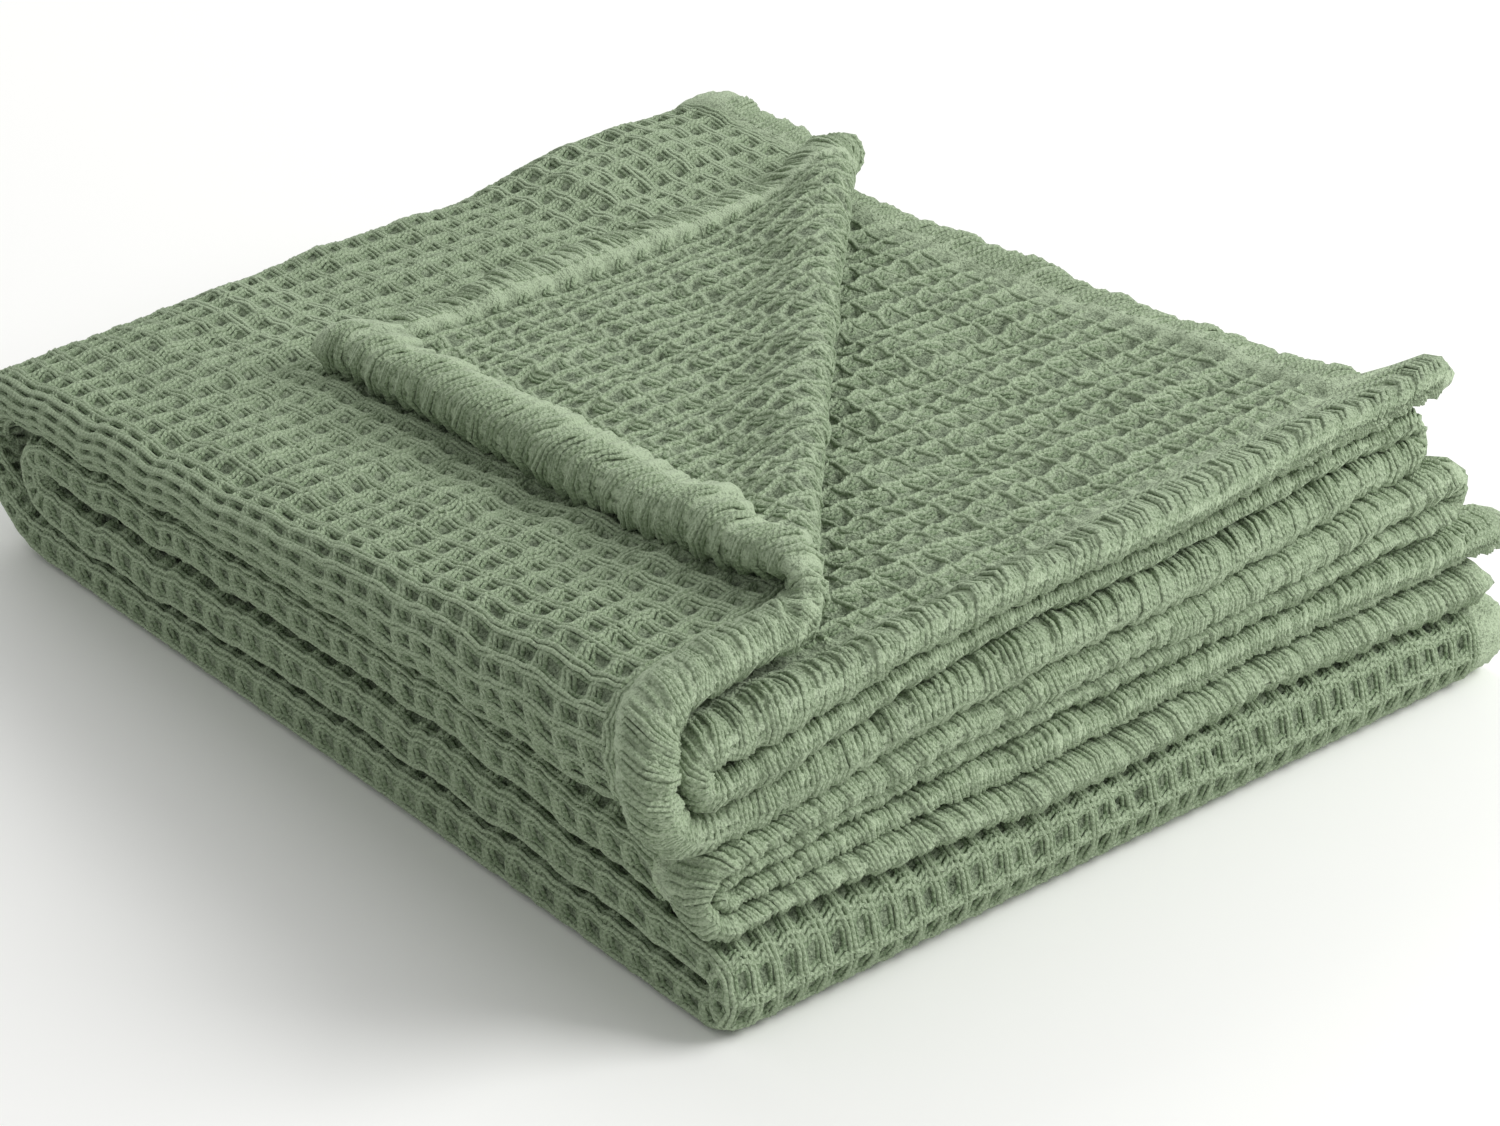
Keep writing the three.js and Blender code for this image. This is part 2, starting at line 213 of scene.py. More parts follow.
def across_place(piece, part, bundle, y, front_edge):
    """Share, hem bead, x and distance from the cloth's end at places across a bundle."""
    kind, name, start, stop, _ = ACROSS[piece]
    sides = SIDES[bundle]
    near_depth = bundle_depth(bundle, COLUMN_X[0], y)
    near_centre = along_depth(sides["near"], y) + CLOTH_THICK / 2 + near_depth * NEAR_ROUND / 2
    loop_share = (LAYERS["c"]["share"] - LAYERS["d"]["share"]) / SHARE_SPREAD
    loop_depth = bundle_depth(bundle, COLUMN_X[2], y) * loop_share
    loop_centre = along_depth(sides["loop"], y) - CLOTH_THICK / 2 - loop_depth / 2
    far = np.full_like(part, np.inf)
    if kind == "turn":
        mix = (1.0 - np.cos(np.pi * part)) / 2
        share = lerp(LAYERS[start]["share"], LAYERS[stop]["share"], mix)
        tight = 1.0 - TURN_PINCH * np.sin(np.pi * part)
        bead = lerp(LAYERS[start]["bead"], LAYERS[stop]["bead"], mix) * tight
        step = abs(LAYERS[start]["share"] - LAYERS[stop]["share"]) / SHARE_SPREAD
        swing = loop_depth / 2 if name == "loop" else -near_depth * step * NEAR_ROUND / 2
        centre = loop_centre if name == "loop" else near_centre
        return share, bead, centre + swing * np.sin(np.pi * part), far
    share = np.full_like(part, LAYERS[name]["share"])
    bead = np.full_like(part, LAYERS[name]["bead"])
    places = {"near": near_centre, "loop": loop_centre}
    if "end" in (start, stop):
        poke = FINGERS.get(bundle, 0.0) if name == "b" else 0.0
        off_middle = np.clip(front_edge / FINGER_TIP - 1.0, -1.0, 1.0)
        rounded = FINGER_TIP * (1.0 - np.sqrt(1.0 - off_middle ** 2)) * (poke > 0)
        by_hem = 1.0 - soft_step(front_edge, *FINGER_REACH)
        places["end"] = along_depth(sides[name], y) + (poke - rounded) * by_hem
    x = lerp(places[start], places[stop], part)
    return share, bead, x, np.abs(places["end"] - x) if "end" in places else far


def past_fold(x, y):
    return (x - CORNER["start"][0]) * CORNER_WAY[1] - (y - CORNER["start"][1]) * CORNER_WAY[0]


def fold_radius(x):
    middle = (CORNER["start"][0] + CORNER["stop"][0]) / 2
    return through3(CORNER["radii"], (CORNER["start"][0], middle, CORNER["stop"][0]), x)


def edge_round(edge):
    return np.sqrt(1.0 - (1.0 - np.clip(edge / EDGE_ROUND, 0.0, 1.0)) ** 2)


def cloth_thick(bundle, on_top_layer, bead, x, y, front_edge, end_edge):
    """Body of cloth and hems before the edge is rounded, and the thickness after it."""
    depth = bundle_depth(bundle, x, y)
    past = past_fold(x, y) if on_top_layer else np.full_like(x, FAR_FROM_FOLD)
    radius = fold_radius(x - np.maximum(past, 0.0) * CORNER_WAY[1])
    free = soft_step((past - np.pi * radius) / CORNER["fills"], 0.0, 1.0)
    bent = soft_step(past, -CORNER["thins"], 0.0) * (1.0 - free)

    def hem_body(hem, room):
        most = lerp(hem["most"], HEM_IN_BEND * radius, bent)
        stacked = np.minimum(np.clip(room, CLOTH_THICK, hem["most"]), most)
        return lerp(stacked, hem["free"], free)

    def band(hem, edge):
        wide = lerp(hem["wide"], hem["free_wide"], free)
        return 1.0 - soft_step(edge / wide, HEM_TAPER, 1.0)

    front = hem_body(FRONT_HEM, bead * HEM_FILL["front"] * depth / BEAD_BUNDLE)
    layer_room = (LAYERS["a"]["share"] - LAYERS["b"]["share"]) / SHARE_SPREAD * depth
    end = hem_body(END_HEM, layer_room * (0.0 if bundle == "bottom" else HEM_FILL["end"]))
    on_front = lerp(CLOTH_THICK, front, band(FRONT_HEM, front_edge))
    on_end = lerp(CLOTH_THICK, end, band(END_HEM, end_edge))
    body = np.maximum(on_front, on_end)
    return body, body * edge_round(front_edge) * edge_round(end_edge)


def turn_back(x, y, z, body):
    """Turns the corner of the top layer back over the fold line."""
    past = past_fold(x, y)
    foot_x = x - past * CORNER_WAY[1]
    foot_y = y + past * CORNER_WAY[0]
    radius = fold_radius(foot_x)
    bent = np.minimum(past, np.pi * radius)
    beyond = past - bent
    settled = 1.0 - np.exp(-((beyond / CORNER["settle"]) ** 2))
    rest = CLOTH_THICK / 2 + REST_GAP + body / 2
    reach = radius * np.sin(bent / radius) - beyond
    lift = lerp(radius * (1.0 - np.cos(bent / radius)), rest, settled)
    turned_x = foot_x + reach * CORNER_WAY[1]
    turned_y = foot_y - reach * CORNER_WAY[0]
    turned_z = layer_height("top", "a", turned_x, turned_y) + lift
    turned = past > 0
    return np.where(turned, turned_x, x), np.where(turned, turned_y, y), np.where(turned, turned_z, z)


def cloth_piece(i, part_i, j, part_j):
    """Middle of the cloth and its thickness on one piece of each path."""
    kind, name, start, stop, _ = ALONG[j]
    far = np.full_like(part_i, np.inf)
    if kind == "turn":
        fold = FOLDS[name]
        upper, lower = fold["ends"]
        at = np.full_like(part_i, fold["at"])
        share_p, bead_p, x_p, end_p = across_place(i, part_i, upper, at, far)
        share_q, bead_q, x_q, end_q = across_place(i, part_i, lower, at, far)
        z_p = bundle_height(upper, share_p, x_p, at)
        z_q = bundle_height(lower, share_q, x_q, at)
        mix = (1.0 - np.cos(np.pi * part_j)) / 2
        outermost = LAYERS[fold["outermost"]]["share"]
        widest = bundle_height(upper, outermost, x_p, at) - bundle_height(lower, outermost, x_q, at)
        reach = fold["reach"] * (z_p - z_q) / widest
        y = at + fold["way"] * reach * np.sin(np.pi * part_j)
        thick_p = cloth_thick(upper, False, bead_p, x_p, at, far, end_p)[1]
        thick_q = cloth_thick(lower, False, bead_q, x_q, at, far, end_q)[1]
        centre = np.stack([lerp(x_p, x_q, mix), y, lerp(z_p, z_q, mix)], -1)
        return centre, lerp(thick_p, thick_q, mix)
    hemmed = "hem" in (start, stop)
    if hemmed:
        share, _, x, _ = across_place(i, part_i, name, np.full_like(part_i, HEM_DEPTH), far)
        line = hem_line(name, share, x)
    ends = [line if end == "hem" else FOLDS[end]["at"] for end in (start, stop)]
    y = lerp(ends[0], ends[1], part_j)
    front_edge = y - line if hemmed else far
    share, bead, x, end_edge = across_place(i, part_i, name, y, front_edge)
    z = bundle_height(name, share, x, y)
    on_top_layer = name == "top" and i == 0
    body, thick = cloth_thick(name, on_top_layer, bead, x, y, front_edge, end_edge)
    if on_top_layer:
        x, y, z = turn_back(x, y, z, body)
    return np.stack([x, y, z], -1), thick


def cloth_at(sigma, tau):
    """Middle of the cloth and its thickness at places on the two paths, sigma across and tau along."""
    sigma = np.clip(sigma, 0.0, len(ACROSS))
    tau = np.clip(tau, 0.0, len(ALONG))
    centre = np.zeros(sigma.shape + (3,))
    thick = np.zeros(sigma.shape)
    piece_i = np.minimum(sigma.astype(int), len(ACROSS) - 1)
    piece_j = np.minimum(tau.astype(int), len(ALONG) - 1)
    for i in range(len(ACROSS)):
        for j in range(len(ALONG)):
            here = (piece_i == i) & (piece_j == j)
            if here.any():
                centre[here], thick[here] = cloth_piece(i, sigma[here] - i, j, tau[here] - j)
    return centre, thick


# Unevenness of soft cloth: long, low swells through the whole stack, moving its layers together
SWELLS = (
    # amount, then wavelength in x, y and z, and phase
    (1.3, 118.0, 74.0, 160.0, 0.3),
    (0.9, 61.0, 97.0, 90.0, 2.1),
    (0.6, 43.0, 38.0, 70.0, 4.0),
)
SWELL_ALONG = {"share": 0.8, "turn": 1.7}
FLOOR_FADE = (3.0, 24.0)


def swell(points, turn):
    total = np.zeros(len(points))
    for amount, long_x, long_y, long_z, phase in SWELLS:
        angle = points[:, 0] / long_x + points[:, 1] / long_y + points[:, 2] / long_z
        cross = points[:, 0] / long_y - points[:, 1] / long_x
        total += amount * np.sin(2 * np.pi * angle + phase + turn) * np.cos(2 * np.pi * cross + turn)
    return total


def settle_unevenly(points):
    fade = soft_step(points[:, 2], *FLOOR_FADE)
    moved = points.copy()
    moved[:, 1] += SWELL_ALONG["share"] * fade * swell(points, SWELL_ALONG["turn"])
    moved[:, 2] += fade * swell(points, 0.0)
    return moved


# Waffle weave. Cells are counted across and along the flat cloth. The outer face has cords and
# rungs round square pits, the inner face a thinner wavy net half a cell over. Heights are in
# millimetres, a rise goes from 0 in a pit to 1 on a rib, and depths are a least share and a random one.
# The rise is also the tone of the colour, which paints shade into the pits and hollows. The tones
# given here are how dark that painted shade may get, with a random share added in the outer pits.
CELL = (9.1, 11.3)
OUTER_WEAVE = {"deep": 2.7, "depths": (0.62, 0.5), "round": 3.0, "rung_rise": 0.93, "knot": 0.5,
               "knot_most": 0.25, "proud": -0.2, "crumple": 0.25, "pit_shade_tone": 0.15, "painted_shade_tones": 0.25,
               "bent_deep": 0.75, "bent_pit_shade_tone": 0.3, "bent_walls": (0.30, 0.92), "boxed": 0.75}
INNER_WEAVE = {"deep": 1.5, "depths": (0.55, 0.7), "line": 0.4, "line_top": 0.85, "ground": 0.6,
               "behind": 0.26, "bow": 1.1, "narrow": 0.13, "ends": (0.25, 0.42), "wave": 0.085,
               "proud": 0.3, "crumple": 0.3, "tone": 0.4}
HEM_CELLS = 2
HEM_FADE = (HEM_CELLS - 0.6, HEM_CELLS + 0.1)
FREE_HEM = (24, 30)
# Ribs round the hems. Their shade tones paint shade into the hollows between the ribs, lighter on the ribs
HEM_RIB = {"deep": 0.6, "free_deep": 1.7, "least": 0.5, "half": 0.95, "round": 0.6, "level": 0.6,
           "slant": 0.38, "upright": 0.5, "crumple": 0.42, "painted_shade_tones": (0.78, 0.22), "chance_row": 7.0}
HEM_LUMPS = (
    # amount, then radians a cell along the hem and in from its rim, and phase
    (0.4, 1.9, 0.7, 0.0),
    (0.4, 0.83, 0.0, 1.1),
)
LEAST_FLOOR = 2.3
PLAIN_RISE = 0.8

# Where the cloth bends, in cells: which count, where the bend begins and where it ends
BENDS = (
    ("across", (31.0, 36.0), (44.0, 46.0)),
    ("along", (29.0, 33.0), (41.0, 44.0)),
    ("along", (73.0, 74.5), (77.5, 79.0)),
)

# Slow drift of the weave's lines, in cells, which stays off the rims and the joins of the paths
DRIFT = (
    # amount, then radians a cell across and along, and share of the turn
    (0.5, 0.61, 0.23, 1.0),
    (0.6, 0.27, -0.52, 2.0),
    (0.35, 1.31, 1.07, 3.0),
)
DRIFT_SIZE = 0.08
DRIFT_TURN = 1.3
RIM_STEADY = (0.5, 4.0)
JOIN_STEADY = 1.5

CELLS_ACROSS = np.concatenate([[0], np.cumsum([cells for *_, cells in ACROSS])]).astype(float)
CELLS_ALONG = np.concatenate([[0], np.cumsum([cells for *_, cells in ALONG])]).astype(float)

# Cells that the outer layer takes round the near side, by cells along: many round the thick top bundle
TURN_CELLS = {"along": (31.0, 42.0, 109.0, 114.0), "across": (7.0, 2.3, 2.3, 3.2)}

SEEDS = {"cells": 11, "crumple": 5, "cord": 31, "rung": 37, "net": 41, "hems": 31, "yarn": 23}
CHANCE_SIZE = 256
CHANCE = np.random.default_rng(SEEDS["cells"]).random((CHANCE_SIZE, CHANCE_SIZE))
TONE_SHIFT = 5


def turn_cells(along):
    return np.interp(along, TURN_CELLS["along"], TURN_CELLS["across"])


def across_knots(along):
    """Cells at which each part of the path across begins, which shift where the near turn takes fewer."""
    knots = np.repeat(CELLS_ACROSS[:, None], len(along), 1)
    spare = (ACROSS[NEAR_TURN][-1] - turn_cells(along)) / 2
    knots[NEAR_TURN] += spare
    knots[NEAR_TURN + 1] -= spare
    return knots


def cells_at(sigma, tau):
    """Cells across and along at places on the two paths."""
    along = np.interp(tau, np.arange(len(ALONG) + 1), CELLS_ALONG)
    knots = across_knots(along)
    part = np.minimum(sigma.astype(int), len(ACROSS) - 1)
    each = np.arange(len(sigma))
    across = lerp(knots[part, each], knots[part + 1, each], sigma - part)
    return across, along


def paths_at(across, along):
    """Places on the two paths at given cells."""
    tau = np.interp(along, CELLS_ALONG, np.arange(len(ALONG) + 1))
    knots = across_knots(along)
    part = np.clip((across >= knots[1:-1]).sum(0), 0, len(ACROSS) - 1)
    each = np.arange(len(across))
    sigma = part + (across - knots[part, each]) / (knots[part + 1, each] - knots[part, each])
    return np.clip(sigma, 0.0, len(ACROSS)), tau


def from_edges(across, along):
    """Cells to the nearest front rim and to the nearest end rim, and whether the front one is closer."""
    to_front = np.minimum(along, CELLS_ALONG[-1] - along)
    to_end = np.minimum(across, CELLS_ACROSS[-1] - across)
    return to_front, to_end, to_front * CELL[1] < to_end * CELL[0]


def waviness(across, along, turn):
    total = np.zeros_like(across)
    for amount, by_across, by_along, by_turn in DRIFT:
        total += np.sin(across * by_across + along * by_along + by_turn * turn) * amount
    return total


def chance(across, along):
    """Random share of a cell, the same each time."""
    return CHANCE[np.floor(across).astype(int) % CHANCE_SIZE, np.floor(along).astype(int) % CHANCE_SIZE]


def ridge(distance, half):
    """Rounded rib: 1 on its line, 0 past its half width."""
    t = np.clip(distance / half, 0.0, 1.0)
    return (np.cos(np.pi * t) + 1.0) / 2


def opened(across, along):
    """1 where the cloth bends round the stack, which opens its pits, 0 where it lies flat."""
    cells = {"across": across, "along": along}
    bends = [soft_step(cells[way], *begin) * (1.0 - soft_step(cells[way], *end)) for way, begin, end in BENDS]
    return np.maximum.reduce(bends)


def outer_relief(across, along):
    """Square pits between cords and rungs: sloped where the cloth lies flat, boxed where it bends."""
    by_cord = 1.0 - 2 * np.abs(across - np.round(across))
    by_rung = (1.0 - 2 * np.abs(along - np.round(along))) * OUTER_WEAVE["rung_rise"]
    power = OUTER_WEAVE["round"]
    close = (by_cord ** power + by_rung ** power) ** (1.0 / power)
    bent = opened(across, along)
    sloped = np.sin(np.pi / 2 * np.minimum(close, 1.0))
    boxed = soft_step(close, *OUTER_WEAVE["bent_walls"])
    rise = lerp(sloped, boxed, OUTER_WEAVE["boxed"] * bent)
    knot = OUTER_WEAVE["knot"] * np.clip(close - 1.0, 0.0, OUTER_WEAVE["knot_most"])
    least, spread = OUTER_WEAVE["depths"]
    depth = OUTER_WEAVE["deep"] * (least + spread * chance(across, along))
    depth = depth * lerp(1.0, OUTER_WEAVE["bent_deep"], bent)
    # Painted shade in the pits: the tone follows the rise, but goes no darker than the pit's shade tone, and
    # it is lighter where the cloth bends
    pit_shade_tone = lerp(OUTER_WEAVE["pit_shade_tone"], OUTER_WEAVE["bent_pit_shade_tone"], bent)
    pit_shade_tone = pit_shade_tone + OUTER_WEAVE["painted_shade_tones"] * chance(across + TONE_SHIFT, along)
    return (rise - 1.0) * depth + OUTER_WEAVE["proud"] + knot, np.maximum(rise, pit_shade_tone)


def inner_relief(across, along):
    """Low net of smooth lines, with a hollow in the shape of a crescent behind each one."""
    aside = across + 0.5 - np.floor(across + 0.5)
    behind = along + 0.5 - np.floor(along + 0.5)
    line = np.maximum(ridge(np.minimum(aside, 1 - aside) * 2, INNER_WEAVE["line"]),
                      ridge(np.minimum(behind, 1 - behind) * 2, INNER_WEAVE["line"]))
    middle = INNER_WEAVE["behind"] + INNER_WEAVE["bow"] * (aside - 0.5) ** 2
    ends = 1.0 - soft_step(np.abs(aside - 0.5), *INNER_WEAVE["ends"])
    hollow = np.exp(-((behind - middle) / INNER_WEAVE["narrow"]) ** 2) * ends
    rise = np.clip(lerp(INNER_WEAVE["ground"], 1.0, line) - hollow, 0.0, 1.0)
    least, spread = INNER_WEAVE["depths"]
    depth = INNER_WEAVE["deep"] * (least + spread * chance(across + 0.5, along + 0.5))
    # Painted shade in the crescent hollows: the tone follows the rise and goes no darker than the inner tone
    return (rise - 1.0) * depth + INNER_WEAVE["proud"], np.maximum(rise, INNER_WEAVE["tone"])


def hem_slant(to_edge):
    """How far a rib leans along the hem on its way from the rim, in cells."""
    return HEM_RIB["slant"] * (1.0 - np.exp(-to_edge / HEM_RIB["upright"]))


def hem_relief(across, along, side):
    """Ribs that wind slantwise round a hem, each a little different, with the hem's own lumps."""
    to_front, to_end, on_front = from_edges(across, along)
    to_edge = np.where(on_front, to_front, to_end)
    count = np.where(on_front, across, along)
    slanted = count + hem_slant(to_edge) * side
    rise = ridge(np.abs(slanted - np.round(slanted)) * 2, HEM_RIB["half"]) ** HEM_RIB["round"]
    free = np.where(on_front & (along < HEM_CELLS), 1.0 - soft_step(across, *FREE_HEM), 0.0)
    uneven = HEM_RIB["least"] + chance(slanted + 0.5, np.full_like(slanted, HEM_RIB["chance_row"]))
    deep = lerp(HEM_RIB["deep"], HEM_RIB["free_deep"], free) * uneven
    lump = np.zeros_like(count)
    for amount, by_count, by_edge, phase in HEM_LUMPS:
        lump += amount * np.sin(count * by_count + by_edge * to_edge + phase)
    return (rise - HEM_RIB["level"]) * deep + lump, rise


# The skin is made in blocks, fine where the cloth shows and coarse where it is hidden. Behind the pits
# of the top layer the hidden face has a corner in each cell, so that it follows the swells under them.
PER_CELL = {"outer": 4, "inner": 7, "behind": 1}
HIDDEN_STEPS = {"turn": 6, "run": 2, "cells": 3}
HEM_ROWS = np.array([0, 0.012, 0.045, 0.1, 0.17, 0.25, 0.34, 0.44, 0.55, 0.67, 0.8, 0.9, 1.0])
TURN_STEPS = 8
ACROSS_BLOCKS = ((2, 5, 6, 5, 6, 5, 6), (7,), (33,), (1,), (33,), (2,), (5, 5, 5, 5, 5, 6, 2))
ALONG_BLOCKS = ((2, 5, 5, 5, 5, 5, 4), (11,), (32,), (4,), (31,), (5,), (30, 2))
OUTER, INNER, RIM = 1, -1, 0

# What shows of the top bundle: rough run of its layers, how far from the fold line the faces under and on
# the flap are seen, and the part of the top layer that the flap covers
SHOWN = {"a": (326.0, 5.0), "b": (5.0, 310.0), "y": (30.0, 374.0), "under_flap": -30.0, "on_flap": -8.0,
         "past_fold": 25.0, "flap_x": 290.0, "flap_y": 75.0}


def block_rows(path, blocks):
    """Each block's start and stop on the path, its piece, cells and whether it is a hem."""
    rows = []
    for piece, counts in enumerate(blocks):
        total = sum(counts)
        done = 0
        for k, count in enumerate(counts):
            at_start = piece == 0 and k == 0
            at_stop = piece == len(blocks) - 1 and k == len(counts) - 1
            rows.append({"start": piece + done / total, "stop": piece + (done + count) / total,
                         "piece": piece, "cells": count, "turn": path[piece][0] == "turn",
                         "hem": "start" if at_start else "stop" if at_stop else None})
            done += count
    return rows


ACROSS_ROWS = block_rows(ACROSS, ACROSS_BLOCKS)
ALONG_ROWS = block_rows(ALONG, ALONG_BLOCKS)


def block_shows(side, row_i, row_j):
    """Whether a block of the cloth's skin is seen, so that it gets its weave."""
    across = ACROSS[row_i["piece"]][1:4]
    along = ALONG[row_j["piece"]][1]
    layer = across[0]
    if row_j["hem"]:
        return True
    if across == ("near", "a", "d") or layer == "loop":
        return side == OUTER
    if layer == "a" and along in ("back", "crease"):
        return side == OUTER
    if along != "top" or layer not in "ab":
        return False
    sigma, tau = np.meshgrid([row_i["start"], row_i["stop"]], [row_j["start"], row_j["stop"]])
    x = lerp(*SHOWN[layer], sigma.ravel() - row_i["piece"])
    y = lerp(*SHOWN["y"], tau.ravel())
    past = past_fold(x, y)
    if layer == "b":
        return side == INNER and past.max() > SHOWN["under_flap"]
    if side == INNER:
        return past.max() > SHOWN["on_flap"]
    mirror_x = x - 2 * past * CORNER_WAY[1]
    mirror_y = y + 2 * past * CORNER_WAY[0]
    covered = (past < 0) & (mirror_x < SHOWN["flap_x"]) & (mirror_y > SHOWN["flap_y"])
    return not (past.min() > SHOWN["past_fold"] or covered.all())


def row_stops(row, per_cell):
    """Where a block's corners lie along it; with none in each cell, the block is hidden."""
    if row["hem"]:
        return HEM_ROWS if row["hem"] == "start" else 1.0 - HEM_ROWS[::-1]
    if per_cell:
        return np.linspace(0, 1, max(row["cells"] * per_cell, TURN_STEPS if row["turn"] else 0) + 1)
    least = HIDDEN_STEPS["turn" if row["turn"] else "run"]
    return np.linspace(0, 1, max(least, round(row["cells"] / HIDDEN_STEPS["cells"])) + 1)


def piece_of(i, j):
    """Which of the four meshes a block of the cloth belongs to."""
    across, along = ACROSS_ROWS[i]["piece"], ALONG_ROWS[j]["piece"]
    if across == NEAR_TURN:
        return "near_side"
    if along == 0:
        return "top_layer" if across == 0 else "layers_under_top"
    return "folded_layers"


class Skin:
    """Corners of the cloth's skin by their place on its two paths, and the faces between them."""

    def __init__(self):
        self.count_i = len(ACROSS_ROWS)
        self.count_j = len(ALONG_ROWS)
        self.shows = {(side, i, j): block_shows(side, ACROSS_ROWS[i], ALONG_ROWS[j])
                      for side in (OUTER, INNER) for i in range(self.count_i) for j in range(self.count_j)}
        self.places = []
        self.total = 0
        self.corners = {}
        self.edges = {}

    def add(self, sigma, tau, side, woven):
        sigma, tau = np.broadcast_arrays(np.asarray(sigma, float), np.asarray(tau, float))
        count = sigma.size
        columns = [sigma.ravel(), tau.ravel(), np.full(count, side), np.full(count, woven)]
        self.places.append(np.stack(columns, -1))
        self.total += count
        return np.arange(self.total - count, self.total)

    def start_of(self, i, j):
        """Where a block starts on the two paths, or where they end past the last block."""
        sigma = ACROSS_ROWS[i]["start"] if i < self.count_i else float(len(ACROSS))
        tau = ALONG_ROWS[j]["start"] if j < self.count_j else float(len(ALONG))
        return sigma, tau

    def stops(self, side, i, j, way):
        on_hem = ACROSS_ROWS[i]["hem"] or ALONG_ROWS[j]["hem"]
        behind_pits = self.shows[-side, i, j] and piece_of(i, j) == "top_layer"
        per_cell = PER_CELL["behind"] if behind_pits else 0
        if self.shows[side, i, j]:
            per_cell = PER_CELL["inner" if side == INNER or on_hem else "outer"]
        return row_stops(ACROSS_ROWS[i] if way == "across" else ALONG_ROWS[j], per_cell)

    def corner(self, side, i, j):
        """One corner where up to four blocks meet."""
        on_rim = i in (0, self.count_i) or j in (0, self.count_j)
        key = (RIM if on_rim else side, i, j)
        if key not in self.corners:
            around = [(s, p, q) for s in (OUTER, INNER) if on_rim or s == side
                      for p in (i - 1, i) for q in (j - 1, j) if (s, p, q) in self.shows]
            woven = all(self.shows[block] for block in around)
            self.corners[key] = self.add(*self.start_of(i, j), key[0], woven)[0]
        return self.corners[key]

    def edge(self, side, i, j, way):
        """Corners along one edge of a block, shared with its neighbours, and where they lie on it."""
        on_rim = (j in (0, self.count_j)) if way == "across" else (i in (0, self.count_i))
        key = (RIM if on_rim else side, i, j, way)
        if key not in self.edges:
            before = (i, j - 1) if way == "across" else (i - 1, j)
            around = [(s, *block) for s in (OUTER, INNER) if on_rim or s == side
                      for block in (before, (i, j)) if (s, *block) in self.shows]
            stops = max((self.stops(*block, way) for block in around), key=len)
            woven = all(self.shows[block] for block in around)
            row = ACROSS_ROWS[i] if way == "across" else ALONG_ROWS[j]
            inside = lerp(row["start"], row["stop"], stops[1:-1])
            sigma, tau = self.start_of(i, j)
            if way == "across":
                middle = self.add(inside, tau, key[0], woven)
                ends = self.corner(side, i, j), self.corner(side, i + 1, j)
            else:
                middle = self.add(sigma, inside, key[0], woven)
                ends = self.corner(side, i, j), self.corner(side, i, j + 1)
            self.edges[key] = (np.concatenate([[ends[0]], middle, [ends[1]]]), stops)
        return self.edges[key]

    def block(self, side, i, j):
        """Faces of one block: an even grid inside, joined to whatever its edges have."""
        row_i, row_j = ACROSS_ROWS[i], ALONG_ROWS[j]
        in_i = self.stops(side, i, j, "across")[1:-1]
        in_j = self.stops(side, i, j, "along")[1:-1]
        across = lerp(row_i["start"], row_i["stop"], in_i)
        along = lerp(row_j["start"], row_j["stop"], in_j)
        sigma, tau = np.meshgrid(across, along, indexing="ij")
        grid = self.add(sigma, tau, side, self.shows[side, i, j]).reshape(sigma.shape)
        quads = np.stack([grid[:-1, :-1], grid[:-1, 1:], grid[1:, 1:], grid[1:, :-1]], -1).reshape(-1, 4)
        borders = (
            ("across", (i, j), grid[:, 0], in_i),
            ("across", (i, j + 1), grid[:, -1], in_i),
            ("along", (i, j), grid[0], in_j),
            ("along", (i + 1, j), grid[-1], in_j),
        )
        strips = []
        for way, at, inner, inner_at in borders:
            outer, outer_at = self.edge(side, *at, way)
            strips += join_rows(outer, outer_at, inner, inner_at)
        return quads, np.array(strips)


def join_rows(row_p, at_p, row_q, at_q):
    """Triangles between two rows of corners that may differ in number."""
    triangles = []
    p = q = 0
    while p < len(row_p) - 1 or q < len(row_q) - 1:
        step_p = at_p[p + 1] if p < len(row_p) - 1 else math.inf
        step_q = at_q[q + 1] if q < len(row_q) - 1 else math.inf
        if step_p <= step_q:
            triangles.append((row_p[p], row_p[p + 1], row_q[q]))
            p += 1
        else:
            triangles.append((row_p[p], row_q[q + 1], row_q[q]))
            q += 1
    return triangles


# Step on a path, in parts of a piece, that gives the cloth's direction there, and the least length kept
NUDGE = 0.0015
TINY = 1e-9


def unit(vectors):
    return vectors / np.maximum(np.linalg.norm(vectors, axis=1, keepdims=True), TINY)


def settled_middle(sigma, tau):
    return settle_unevenly(cloth_at(sigma, tau)[0])


def cloth_frame(sigma, tau, side):
    """Middle of the cloth, its way out, thickness, weave cells and directions at places on its two paths."""
    across, along = cells_at(sigma, tau)
    to_front, to_end, _ = from_edges(across, along)
    fade = soft_step(np.minimum(to_front, to_end), *RIM_STEADY)
    wave = INNER_WEAVE["wave"] * (side == INNER)
    drift_i = DRIFT_SIZE * waviness(across, along, 0.0)
    drift_j = DRIFT_SIZE * waviness(along, across, DRIFT_TURN)
    drift_i += wave * np.sin(2 * np.pi * along) * np.sin(np.pi * across)
    drift_j += wave * np.sin(2 * np.pi * across) * np.sin(np.pi * along)
    unit_i = np.array([1.0 / cells for *_, cells in ACROSS])[np.minimum(sigma.astype(int), len(ACROSS) - 1)]
    unit_j = np.array([1.0 / cells for *_, cells in ALONG])[np.minimum(tau.astype(int), len(ALONG) - 1)]
    steady_i = soft_step(np.abs(sigma - np.round(sigma)) / unit_i, 0.0, JOIN_STEADY)
    steady_j = soft_step(np.abs(tau - np.round(tau)) / unit_j, 0.0, JOIN_STEADY)
    sigma = sigma + drift_i * fade * unit_i * steady_i
    tau = tau + drift_j * fade * unit_j * steady_j
    centre, thick = cloth_at(sigma, tau)
    on_across = settled_middle(sigma + NUDGE, tau) - settled_middle(sigma - NUDGE, tau)
    on_along = settled_middle(sigma, tau + NUDGE) - settled_middle(sigma, tau - NUDGE)
    way_out = np.where(side == INNER, -1.0, 1.0)[:, None] * unit(np.cross(on_along, on_across))
    return settle_unevenly(centre), way_out, thick, across, along, on_across, on_along


